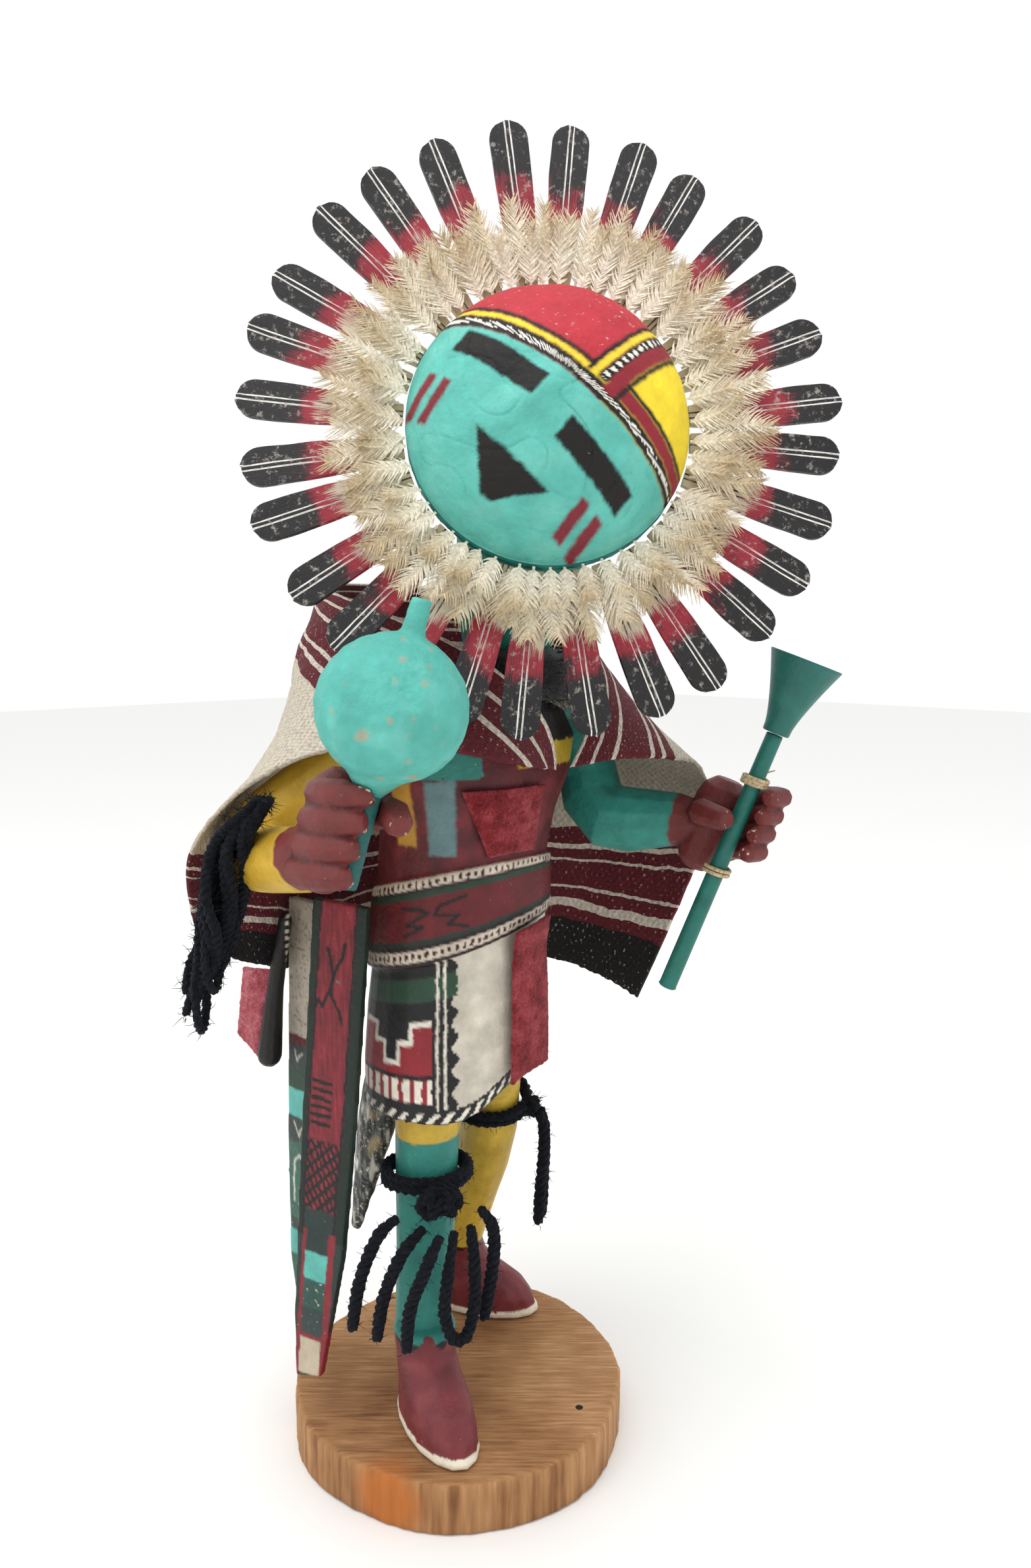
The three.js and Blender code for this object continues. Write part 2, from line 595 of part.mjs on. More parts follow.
// ---------------------------------------------------------------- felt pieces and band
const onTrunk = ({ right, left, bottom, top, stand }) => (u, v, offset) => trunkPoint(
  lerp(lerp(right[0], right[1], v), left, u), lerp(bottom, top, v), stand + offset);
add('felt_bib', plate(onTrunk(
  { right: [-26, -50], left: 14, bottom: 169, top: 192, stand: 0.6 }), 1.2, 8, 5), '#b3242c', 1);
add('felt_strip', plate(onTrunk(
  { right: [-9, -7], left: 24, bottom: 109, top: 149, stand: 2 }), 1.3, 6, 6), '#c0272d', 1);
add('felt_tail', board([
  [-4, 0], [5, 0], [6.5, -20], [-1, -27], [-5.5, -12],
].map(([x, y]) => new THREE.Vector2(x, y)), 1.4, {
  at: vec(-37, 44.5, 136), across: vec(-0.5, 0.85, 0), up: vec(0.05, 0, 1),
}), '#c4566a', 1);
add('black_band', limb(
  [vec(-34.6, 33.6, 152), vec(-36.4, 36.5, 133), vec(-37.8, 38.6, 112)],
  [2, 2.4, 3.6], { sides: 10, steps: 8 }), '#1a1718', 1);

// ---------------------------------------------------------------- black wool yarn
// A hank of loops tied round the right wrist.
add('wrist_hank', cut(limb(
  [vec(-71, -14, 195), vec(-73, -5, 185), vec(-73.5, 1, 171), vec(-75.5, 7, 153), vec(-79.5, 11.5, 138)],
  [4.5, 8.5, 10.5, 8.5, 2.5], { sides: 10, steps: 10, flat: 0.7 },
), solidLimbClearance()), '#15161c', 1);

function solidLimbClearance() {
  return limb([RIGHT.shoulder, vec(-49, 6, 190), RIGHT.elbow, vec(-63, 0, 178.5), RIGHT.wrist],
    [8.8, 8.9, 9.5, 8.5, 7.9], { sides: 12, steps: 8 });
}

// Yarn wound twice round a leg below the knee, with a knot on one side.
function kneeWrap({ path }, at, knot) {
  const inner = 9.5;
  const ring = turned([
    [inner, -YARN * 0.9], [inner + YARN * 0.8, -YARN * 0.7], [inner + YARN, 0],
    [inner + YARN * 0.8, YARN * 0.7], [inner, YARN * 0.9], [inner, -YARN * 0.9],
  ], 16);
  const curve = new THREE.CatmullRomCurve3(path);
  const axis = curve.getTangentAt(at);
  const turn = new THREE.Quaternion().setFromUnitVectors(vec(0, 0, 1), axis);
  const middle = curve.getPointAt(at);
  ring.applyQuaternion(turn).translate(...middle.toArray());
  return { middle, solid: cut(join(ring, knot), limb(path, [7.9, 8.3, 9.1, 9.7],
    { sides: 16, steps: 8 })) };
}
const rightKnot = vec(-20, -14, 80.5);
const leftKnot = vec(22, -6, 92.5);
add('knee_wrap_right', kneeWrap(LEGS.right, 0.66, limb(
  [rightKnot.clone().add(vec(-5.5, 4.5, -2)), rightKnot, rightKnot.clone().add(vec(6, -3.5, -1))],
  [4, 4.6, 4], { sides: 10, steps: 4 })).solid, '#15161c', 1);
add('knee_wrap_left', kneeWrap(LEGS.left, 0.78, limb(
  [leftKnot.clone().add(vec(-2, -2, 1.5)), leftKnot.clone().add(vec(1.5, 1.5, -1))],
  [2.8, 3], { sides: 10, steps: 2 })).solid, '#15161c', 1);

// Loose ends and loops of the knots, from where each leaves its knot.
const TAILS = {
  right_1: [vec(-30.4, -9, 77), vec(-34.8, -6, 72), vec(-39.2, -4, 61), vec(-41, -2.5, 47)],
  right_2: [vec(-25.8, -14.5, 74.5), vec(-31.5, -12, 68), vec(-35, -9, 57), vec(-36.2, -7, 44)],
  right_3: [vec(-24.3, -19.5, 73.5), vec(-29, -19, 66), vec(-31.8, -16, 55), vec(-32, -14.2, 42)],
  right_4: [vec(-11.5, -21.8, 77.5), vec(-8.5, -23.5, 71), vec(-8.8, -23, 58), vec(-10.3, -21.5, 45)],
  left_1: [vec(22.5, -10.8, 91), vec(23.6, -12, 85), vec(22.3, -12.2, 72), vec(20.3, -12.6, 58)],
  left_2: [vec(28, -6.3, 89.5), vec(28.8, -7, 84), vec(27.4, -8.2, 72), vec(25.6, -9, 57)],
};
const LOOP = [
  vec(-20.6, -21, 74), vec(-23.2, -21.5, 64), vec(-23.8, -20.5, 52), vec(-21.5, -21, 44),
  vec(-17.5, -22.2, 43.5), vec(-14.6, -22.4, 52), vec(-15, -22.6, 64), vec(-15.6, -22.2, 74),
];
for (const [name, route] of Object.entries(TAILS)) add(`yarn_${name}`, yarn(route), '#15161c', 1);
add('yarn_loop', yarn(LOOP, YARN * 0.95), '#15161c', 1);

export default doll;
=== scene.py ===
"""The looks of a carved, painted and dressed wooden dancer with a sun face, round the CAD
frame. Shapes are worked out in millimetres and brought to metres as each piece is made.
+Z is up, the chest faces -Y and the dancer's right side is -X."""
import math
import random

import bmesh
import bpy
import numpy as np
from mathutils import Matrix, Vector, noise


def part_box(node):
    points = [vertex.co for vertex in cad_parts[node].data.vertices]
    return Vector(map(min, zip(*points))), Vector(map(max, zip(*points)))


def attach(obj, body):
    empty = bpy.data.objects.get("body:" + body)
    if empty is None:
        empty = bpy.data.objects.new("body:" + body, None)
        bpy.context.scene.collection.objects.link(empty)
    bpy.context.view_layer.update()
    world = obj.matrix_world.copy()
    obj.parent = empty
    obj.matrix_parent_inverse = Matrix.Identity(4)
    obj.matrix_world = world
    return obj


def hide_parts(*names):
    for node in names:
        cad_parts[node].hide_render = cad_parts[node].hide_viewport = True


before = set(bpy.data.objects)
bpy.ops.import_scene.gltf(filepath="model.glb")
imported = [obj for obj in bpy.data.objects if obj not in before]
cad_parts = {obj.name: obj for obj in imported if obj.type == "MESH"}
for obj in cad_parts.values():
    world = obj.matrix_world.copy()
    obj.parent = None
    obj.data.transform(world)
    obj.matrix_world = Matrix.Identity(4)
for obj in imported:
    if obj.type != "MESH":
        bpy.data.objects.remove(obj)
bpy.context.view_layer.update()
MM = 0.001
random.seed(11)

# ---------------------------------------------------------------- camera
# It stands at head height in front of the dancer's right side and looks slightly down.
camera_data = bpy.data.cameras.new("camera")
camera_data.lens = 27.05
camera_data.sensor_width = 36
camera_data.clip_start = 0.01
camera = bpy.data.objects.new("camera", camera_data)
camera.location = (-0.2176, -0.2411, 0.2343)
dip = math.radians(7.7)
level = math.cos(dip) / math.sqrt(2)
camera.rotation_euler = Vector((level, level, -math.sin(dip))).to_track_quat("-Z", "Y").to_euler()
bpy.context.collection.objects.link(camera)
bpy.context.scene.camera = camera
bpy.context.scene.view_settings.view_transform = "Standard"


# ---------------------------------------------------------------- black wool yarn ties
# Bulky two-ply wool yarn is wound below each knee and knotted. The loose ends hang free,
# and one long loop falls from the right knot. The plies twist round the yarn's middle.
def linear(colour):
    """An sRGB hex colour as linear red, green and blue."""
    parts = [int(colour[i:i + 2], 16) / 255 for i in (1, 3, 5)]
    return tuple(c / 12.92 if c <= 0.04045 else ((c + 0.055) / 1.055) ** 2.4 for c in parts)


def rgba(colour):
    return (*linear(colour), 1)


FIXED_NODES = ("Principled BSDF",)


def put(tree, kind, inputs=None, stops=None, **settings):
    """Adds a shader node, or takes the one of that name. Inputs are values or the sockets
    that feed them, and stops are a colour ramp's places and colours."""
    made = tree.nodes[kind] if kind in FIXED_NODES else tree.nodes.new("ShaderNode" + kind)
    for name, value in settings.items():
        setattr(made, name, value)
    for key, value in (inputs or {}).items():
        if isinstance(value, bpy.types.NodeSocket):
            tree.links.new(value, made.inputs[key])
        else:
            made.inputs[key].default_value = value
    for i, (place, colour) in enumerate(stops or ()):
        if i == len(made.color_ramp.elements):
            made.color_ramp.elements.new(place)
        made.color_ramp.elements[i].position = place
        made.color_ramp.elements[i].color = rgba(colour)
    return made.outputs[0] if made.outputs else made


def new_material(name):
    """A material with its shader and output, and the node tree to fill."""
    material = bpy.data.materials.new(name)
    material.use_nodes = True
    return material, material.node_tree


def object_place(tree):
    """Where a point is on the object, in metres."""
    return put(tree, "TexCoord").node.outputs["Object"]


def finish_piece(name, form, slot, material, *nodes, smooth=True):
    """Turns a bmesh in millimetres into a piece that stands for some CAD nodes."""
    bmesh.ops.scale(form, vec=(MM, MM, MM), verts=form.verts)
    mesh = bpy.data.meshes.new(name)
    form.to_mesh(mesh)
    form.free()
    piece = bpy.data.objects.new(name, mesh)
    bpy.context.collection.objects.link(piece)
    mesh.materials.append(material)
    for face in mesh.polygons:
        face.use_smooth = smooth
    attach(piece, "root")
    if nodes:
        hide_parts(*nodes)
    return piece


def smooth_route(points, step):
    """Even steps of about the given length along a smooth curve through the points."""
    ends = [2 * Vector(points[0]) - Vector(points[1]), *map(Vector, points),
            2 * Vector(points[-1]) - Vector(points[-2])]
    dense = []
    for a, b, c, d in zip(ends, ends[1:], ends[2:], ends[3:]):
        for i in range(24):
            t = i / 24
            dense.append(0.5 * (2 * b + (c - a) * t + (2 * a - 5 * b + 4 * c - d) * t * t
                                + (3 * b - a - 3 * c + d) * t ** 3))
    dense.append(Vector(points[-1]))
    lengths = [0.0]
    for a, b in zip(dense, dense[1:]):
        lengths.append(lengths[-1] + (b - a).length)
    count = max(3, round(lengths[-1] / step))
    route, j = [], 0
    for i in range(count + 1):
        want = lengths[-1] * i / count
        while j + 2 < len(dense) and lengths[j + 1] < want:
            j += 1
        share = (want - lengths[j]) / max(1e-9, lengths[j + 1] - lengths[j])
        route.append(dense[j].lerp(dense[j + 1], min(1, share)))
    return route, lengths[-1]


def steady_frames(route):
    """A tangent and two sides for each point of a route, without sudden turns."""
    frames = []
    side = None
    for i, point in enumerate(route):
        tangent = (route[min(i + 1, len(route) - 1)] - route[max(i - 1, 0)]).normalized()
        if side is None:
            side = tangent.orthogonal()
        side = (side - tangent * side.dot(tangent)).normalized()
        frames.append((point, tangent, side, tangent.cross(side)))
    return frames


def sweep(form, route, radius, sides=8, twist=0.0):
    """A closed tube along a route. radius(t) and the twist in turns shape it."""
    frames = steady_frames(route)
    rings = []
    for i, (point, _, side, other) in enumerate(frames):
        t = i / (len(frames) - 1)
        ring = []
        for k in range(sides):
            angle = 2 * math.pi * (k / sides + twist * t)
            r = radius(t, k / sides)
            ring.append(form.verts.new(point + r * (math.cos(angle) * side
                                                    + math.sin(angle) * other)))
        rings.append(ring)
    for low, high in zip(rings, rings[1:]):
        for k in range(sides):
            form.faces.new((low[k], low[(k + 1) % sides], high[(k + 1) % sides], high[k]))
    form.faces.new(reversed(rings[0]))
    form.faces.new(rings[-1])


def twisted_yarn(form, route, diameter, lay=7.0, plies=3):
    """Plies that wind round each other along a route, one turn every lay millimetres."""
    frames = steady_frames(route)
    length = sum((b - a).length for a, b in zip(route, route[1:]))
    for ply in range(plies):
        strand = []
        for i, (point, _, side, other) in enumerate(frames):
            t = i / (len(frames) - 1)
            angle = 2 * math.pi * (ply / plies + t * length / lay)
            close = min(1, 4 * t + 0.3, 4 * (1 - t) + 0.5)
            reach = diameter * 0.24 * close
            strand.append(point + reach * (math.cos(angle) * side + math.sin(angle) * other))
        sweep(form, strand, lambda t, k: diameter * 0.27 * (0.9 + 0.1 * math.sin(t * 40 + ply)),
              sides=7)


def fluff(form, route, spread, count, length, thickness=0.11):
    """Short loose hairs that stand off a route."""
    for _ in range(count):
        at = random.choice(route)
        out = Vector([random.gauss(0, 1) for _ in range(3)]).normalized()
        start = at + out * spread * random.uniform(0.5, 0.95)
        drift = Vector([random.gauss(0, 1) for _ in range(3)]).normalized()
        hair = [start, start + out * length * 0.5 + drift * length * 0.2,
                start + out * length * random.uniform(0.6, 1) + drift * length * 0.6]
        sweep(form, hair, lambda t, k: thickness * (1 - 0.6 * t), sides=3)


# Dyed wool: nearly black with a blue cast, deeply rough, with a soft sheen from its fibres.
def black_wool():
    material, tree = new_material("dyed_black_wool")
    fibres = put(tree, "TexNoise", {"Vector": object_place(tree), "Scale": 900.0, "Detail": 4.0})
    colour = put(tree, "ValToRGB", {0: fibres},
                 stops=[(0.35, "#050609"), (0.6, "#101218"), (0.8, "#23262e")])
    bump = put(tree, "Bump", {"Height": fibres, "Strength": 0.7, "Distance": 0.0004})
    put(tree, "Principled BSDF", {
        "Base Color": colour, "Roughness": 0.95, "Normal": bump, "Sheen Weight": 0.25,
        "Sheen Roughness": 0.6, "Sheen Tint": rgba("#4a5060"), "Specular IOR Level": 0.2})
    return material


wool = black_wool()
YARN = 4.0
YARN_TAILS = {
    "right_1": [(-30.4, -9, 77), (-34.8, -6, 72), (-39.2, -4, 61), (-41, -2.5, 47)],
    "right_2": [(-25.8, -14.5, 74.5), (-31.5, -12, 68), (-35, -9, 57), (-36.2, -7, 44)],
    "right_3": [(-24.3, -19.5, 73.5), (-29, -19, 66), (-31.8, -16, 55), (-32, -14.2, 42)],
    "right_4": [(-11.5, -21.8, 77.5), (-8.5, -23.5, 71), (-8.8, -23, 58), (-10.3, -21.5, 45)],
    "left_1": [(22.5, -10.8, 91), (23.6, -12, 85), (22.3, -12.2, 72), (20.3, -12.6, 58)],
    "left_2": [(28, -6.3, 89.5), (28.8, -7, 84), (27.4, -8.2, 72), (25.6, -9, 57)],
}
YARN_LOOP = [(-20.6, -21, 74), (-23.2, -21.5, 64), (-23.8, -20.5, 52), (-21.5, -21, 44),
             (-17.5, -22.2, 43.5), (-14.6, -22.4, 52), (-15, -22.6, 64), (-15.6, -22.2, 74)]


def yarn_end(name, points, diameter):
    """One free length of yarn, twisted along its route."""
    route, length = smooth_route(points, 0.8)
    form = bmesh.new()
    twisted_yarn(form, route, diameter)
    fluff(form, route, diameter / 2, int(length * 2.2), 1.6)
    piece = finish_piece(f"{name}_wool", form, "black_yarn", wool, name)


for tail, points in YARN_TAILS.items():
    yarn_end(f"yarn_{tail}", points, YARN)
yarn_end("yarn_loop", YARN_LOOP, YARN * 0.95)


# ---------------------------------------------------------------- slice of branch
# The stand is a slice sawn straight across a branch, left bare. The saw leaves nearly
# parallel scores over its top, and the bark side shows upright fibre and one knot.
def ragged(points, grain, seed=0.0):
    """Smooth random values, -1 to 1, that change over about one grain of length."""
    return np.array([noise.noise(Vector(p)) for p in points / grain + seed])


def wood_slice():
    low, high = np.array(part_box("base")) / MM
    radius = (high[0] - low[0]) / 2 - 0.7
    form = bmesh.new()
    bmesh.ops.create_circle(form, segments=240, radius=radius * 0.985)
    edges = form.edges[:]
    outer = [0.985, 1, 1, 1, 1, 1, 1, 1, 0.996, 0.982]
    heights = [0, 0.8, 2.6, 4.6, 6.6, 8.6, 10.6, 12.6, 14.1, high[2]]
    inner = list(np.linspace(0.965, 0.02, 52))
    for share, height in [*zip(outer[1:], heights[1:]), *((s, high[2]) for s in inner)]:
        ring = bmesh.ops.extrude_edge_only(form, edges=edges)["geom"]
        edges = [e for e in ring if isinstance(e, bmesh.types.BMEdge)]
        for vert in (v for v in ring if isinstance(v, bmesh.types.BMVert)):
            angle = math.atan2(vert.co.y, vert.co.x)
            vert.co = (math.cos(angle) * radius * share, math.sin(angle) * radius * share, height)
    bmesh.ops.holes_fill(form, edges=[e for e in form.edges if e.is_boundary])
    bmesh.ops.recalc_face_normals(form, faces=form.faces)
    for vert in form.verts:
        x, y, z = vert.co
        angle = math.atan2(y, x)
        reach = math.hypot(x, y) / radius
        wander = 0.5 * math.sin(3 * angle + 0.6) + 0.35 * math.sin(7 * angle)
        bark = 0.45 * noise.noise((14 * math.cos(angle), 14 * math.sin(angle), z / 40))
        bark += 0.25 * noise.noise((45 * math.cos(angle), 45 * math.sin(angle), z / 6))
        grow = reach * (wander + bark * (reach > 0.97))
        vert.co.x += math.cos(angle) * grow
        vert.co.y += math.sin(angle) * grow
        if z > high[2] - 0.2:
            across = (x + y) * 0.7 + 1.2 * noise.noise((x / 9, y / 9, 3))
            vert.co.z += 0.16 * noise.noise((across / 0.9, (x - y) / 60, 0)) - 0.12
            vert.co.z -= 0.35 * max(0, noise.noise((x / 6, y / 6, 9)) - 0.1) * (reach > 0.93)
    return form


# Bare pine, sawn across and greyed by handling: light brown with darker scores and an
# orange knot at the front.
def sawn_pine():
    material, tree = new_material("sawn_pine")
    place = object_place(tree)
    turned = put(tree, "Mapping", {"Vector": place, "Rotation": (0, 0, math.radians(45)),
                                   "Scale": (1 / 1100, 1 / 60, 1 / 60)}, vector_type="TEXTURE")
    scores = put(tree, "TexNoise", {"Vector": turned, "Scale": 1.0, "Detail": 5.0,
                                    "Roughness": 0.65})
    stretched = put(tree, "Mapping", {"Vector": place, "Scale": (420, 420, 34)})
    fibre = put(tree, "TexNoise", {"Vector": stretched, "Scale": 1.0, "Detail": 6.0})
    up = put(tree, "SeparateXYZ", {0: put(tree, "NewGeometry").node.outputs["Normal"]})
    top = put(tree, "MapRange", {"Value": up.node.outputs["Z"], "From Min": 0.4, "From Max": 0.8})
    grain = put(tree, "Mix", {"Factor": top, "A": fibre, "B": scores}, data_type="FLOAT")
    broad = put(tree, "TexNoise", {"Vector": place, "Scale": 32.0, "Detail": 3.0})
    shade = put(tree, "Math", {0: grain, 1: broad}, operation="ADD")
    colour = put(tree, "ValToRGB", {0: put(tree, "Math", {0: shade, 1: 0.5}, operation="MULTIPLY")},
                 stops=[(0.3, "#5c3820"), (0.42, "#8a5f3b"), (0.54, "#a87c52"), (0.7, "#cfa377")])
    knot_at = put(tree, "Mapping", {"Vector": place, "Location": (0.043, 0.019, -0.0075)})
    knot = put(tree, "VectorMath", {0: knot_at}, operation="LENGTH")
    spot = put(tree, "MapRange", {"Value": knot.node.outputs["Value"], "From Min": 0.0115,
                                  "From Max": 0.006})
    warm = put(tree, "Mix", {"Factor": put(tree, "Math", {0: spot, 1: 0.75},
                                           operation="MULTIPLY"),
                             6: colour, 7: rgba("#b8692a")}, data_type="RGBA")
    # A small near-black disc is painted on the top where a nail hole is. It is painted shade for the
    # hole's dark inside, which the mesh does not cut.
    nail_at = put(tree, "Mapping", {"Vector": place, "Location": (-0.012, 0.037, -0.015)})
    nail = put(tree, "VectorMath", {0: nail_at}, operation="LENGTH")
    nail_hole_shade = put(tree, "Math", {0: nail.node.outputs["Value"], 1: 0.0011}, operation="LESS_THAN")
    dark = put(tree, "Mix", {"Factor": nail_hole_shade, 6: warm.node.outputs[2], 7: rgba("#1d120b")},
               data_type="RGBA")
    bump = put(tree, "Bump", {"Height": grain, "Strength": 0.8, "Distance": 0.0006})
    put(tree, "Principled BSDF", {"Base Color": dark.node.outputs[2], "Roughness": 0.78,
                                  "Normal": bump, "Specular IOR Level": 0.3})
    return material


finish_piece("wood_slice", wood_slice(), "sawn_wood", sawn_pine(), "base")


# ---------------------------------------------------------------- sun head
# A round wooden disc backs the mask. The face is half a hollow ball of plaster, painted
# turquoise with eyes, mouth and a banded forehead, and it is tipped towards one shoulder.
SUN_CENTRE = Vector((-7.6, -41.8, 280.1))
sun_facing = Vector((-0.64, -0.735, 0.216)).normalized()
sun_across = Vector((0, 0, 1)).cross(sun_facing).normalized()
sun_up = sun_facing.cross(sun_across)
sun_frame = Matrix.Translation(SUN_CENTRE) @ Matrix(
    (sun_across, sun_up, sun_facing)).transposed().to_4x4()
DOME_RADIUS = 33.6
DOME_HEIGHT = 27.0
FACE_ROLL = math.radians(41.8)


def copy_of(node_name):
    """The CAD solid's own mesh, merged, in millimetres."""
    form = bmesh.new()
    form.from_mesh(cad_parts[node_name].data)
    bmesh.ops.scale(form, vec=(1 / MM,) * 3, verts=form.verts)
    bmesh.ops.remove_doubles(form, verts=form.verts, dist=0.001)
    return form


def fine_copy(node_name, voxel, smoothing):
    """A smooth, evenly meshed copy of a CAD solid, as a knife and sandpaper leave it."""
    mesh = bpy.data.meshes.new("rough")
    form = copy_of(node_name)
    form.to_mesh(mesh)
    form.free()
    rough = bpy.data.objects.new("rough", mesh)
    bpy.context.collection.objects.link(rough)
    remesh = rough.modifiers.new("remesh", "REMESH")
    remesh.mode = "VOXEL"
    remesh.voxel_size = voxel
    smooth = rough.modifiers.new("smooth", "SMOOTH")
    smooth.iterations = smoothing
    graph = bpy.context.evaluated_depsgraph_get()
    even = bpy.data.meshes.new_from_object(rough.evaluated_get(graph))
    bpy.data.objects.remove(rough)
    form = bmesh.new()
    form.from_mesh(even)
    bpy.data.meshes.remove(even)
    return form


def paint(piece, colour_of):
    """Lays a colour on every point. colour_of gets the points in millimetres and gives
    linear red, green and blue, and how far the paint is worn or dry, 0 to 1."""
    mesh = piece.data
    places = np.empty(len(mesh.vertices) * 3)
    mesh.vertices.foreach_get("co", places)
    colours = colour_of(places.reshape(-1, 3) / MM)
    coat = mesh.color_attributes.new("paint", "FLOAT_COLOR", "POINT")
    coat.data.foreach_set("color", colours.astype(np.float32).ravel())


def coats(count, colour, wear=0.2):
    """A first coat over everything."""
    return np.tile(np.array((*linear(colour), wear)), (count, 1))


def brush(coat, where, colour, wear=None):
    """Paints a colour where the mask, 0 to 1, says."""
    where = np.clip(where, 0, 1)[:, None]
    coat[:, :3] += (np.array(linear(colour)) - coat[:, :3]) * where
    if wear is not None:
        coat[:, 3:] += (wear - coat[:, 3:]) * where


def inside(value, low, high, edge=0.25):
    """1 where value is from low to high, with an edge of the given softness."""
    return np.clip((value - low) / edge + 0.5, 0, 1) * np.clip((high - value) / edge + 0.5, 0, 1)


# Acrylic over plaster or wood. The paint attribute gives the colour, and where its wear
# is high the brush skips, so the white ground shows in streaks.
def brushed_paint(name, ground, grit, grit_depth, roughness, skip_stretch=(1, 1, 1),
                  skip_scale=700.0, shade=0.25):
    material, tree = new_material(name)
    place = object_place(tree)
    coat = put(tree, "Attribute", attribute_name="paint", attribute_type="GEOMETRY")
    stretch = put(tree, "Mapping", {"Vector": place, "Scale": skip_stretch})
    skips = put(tree, "TexNoise", {"Vector": stretch, "Scale": skip_scale, "Detail": 5.0,
                                   "Roughness": 0.7})
    limit = put(tree, "MapRange", {"Value": coat.node.outputs["Alpha"], "From Min": 0.0,
                                   "From Max": 1.0, "To Min": 0.82, "To Max": 0.36})
    over = put(tree, "Math", {0: skips, 1: limit}, operation="SUBTRACT")
    bare = put(tree, "Math", {0: over, 1: 14.0}, operation="MULTIPLY", use_clamp=True)
    mottle = put(tree, "TexNoise", {"Vector": place, "Scale": 120.0, "Detail": 6.0,
                                    "Roughness": 0.7})
    light = put(tree, "MapRange", {"Value": mottle, "From Min": 0.25, "From Max": 0.75,
                                   "To Min": 1 - shade, "To Max": 1 + shade * 0.8})
    tone = put(tree, "VectorMath", {0: coat.node.outputs["Color"], "Scale": light},
               operation="SCALE")
    colour = put(tree, "Mix", {"Factor": bare, 6: tone, 7: rgba(ground)}, data_type="RGBA")
    grain = put(tree, "TexNoise", {"Vector": place, "Scale": grit, "Detail": 6.0,
                                   "Roughness": 0.6})
    bump = put(tree, "Bump", {"Height": grain, "Strength": 0.7, "Distance": grit_depth})
    put(tree, "Principled BSDF", {"Base Color": colour.node.outputs[2], "Roughness": roughness,
                                  "Normal": bump, "Specular IOR Level": 0.35})
    return material


def dome_mesh():
    """Half a ball, spun from its profile; the low nose and uneven plaster are added after it."""
    form = bmesh.new()
    rim = (DOME_RADIUS ** 2 + DOME_HEIGHT ** 2) / (2 * DOME_HEIGHT)
    sweep_angle = math.asin(min(1, DOME_RADIUS / rim))
    verts = [form.verts.new((DOME_RADIUS - 0.3, 0, 2.3)), form.verts.new((DOME_RADIUS, 0, 3.3))]
    for i in range(1, 88):
        angle = sweep_angle * (1 - i / 88)
        verts.append(form.verts.new((rim * math.sin(angle), 0,
                                     2.8 + DOME_HEIGHT - rim * (1 - math.cos(angle)))))
    verts.append(form.verts.new((0, 0, 2.8 + DOME_HEIGHT)))
    edges = [form.edges.new(pair) for pair in zip(verts, verts[1:])]
    bmesh.ops.spin(form, geom=verts + edges, axis=(0, 0, 1), cent=(0, 0, 0), steps=360,
                   angle=2 * math.pi, use_merge=True)
    bmesh.ops.remove_doubles(form, verts=form.verts, dist=0.02)
    bmesh.ops.holes_fill(form, edges=[e for e in form.edges if e.is_boundary])
    bmesh.ops.recalc_face_normals(form, faces=form.faces)
    return form


def face_axes(points):
    """A point's place on the face: right and up in radii, once the face is rolled."""
    local = (points - np.array(SUN_CENTRE)) @ np.array((sun_across, sun_up, sun_facing)).T
    across, up = local[:, 0] / DOME_RADIUS, local[:, 1] / DOME_RADIUS
    cosine, sine = math.cos(FACE_ROLL), math.sin(FACE_ROLL)
    return cosine * across - sine * up, sine * across + cosine * up


dome_form = dome_mesh()
dome_form.verts.ensure_lookup_table()
bmesh.ops.transform(dome_form, matrix=sun_frame, verts=dome_form.verts)
places = np.array([v.co for v in dome_form.verts])
right, up = face_axes(places)
lumps = 0.30 * ragged(places, 9.0) + 0.14 * ragged(places, 3.2) + 0.06 * ragged(places, 1.1)
nose = 1.5 * np.exp(-((right + 0.05) ** 2 / 0.012 + (up + 0.16) ** 2 / 0.05))
cracks = -0.35 * np.clip(1 - np.abs(ragged(places, 11.0, 5.0)) / 0.025, 0, 1) * (up < 0.15)
for vert, lift in zip(dome_form.verts, lumps + nose + cracks):
    outward = (vert.co - SUN_CENTRE).normalized()
    if (vert.co - SUN_CENTRE).dot(sun_facing) > 3.6:
        vert.co += outward * float(lift)


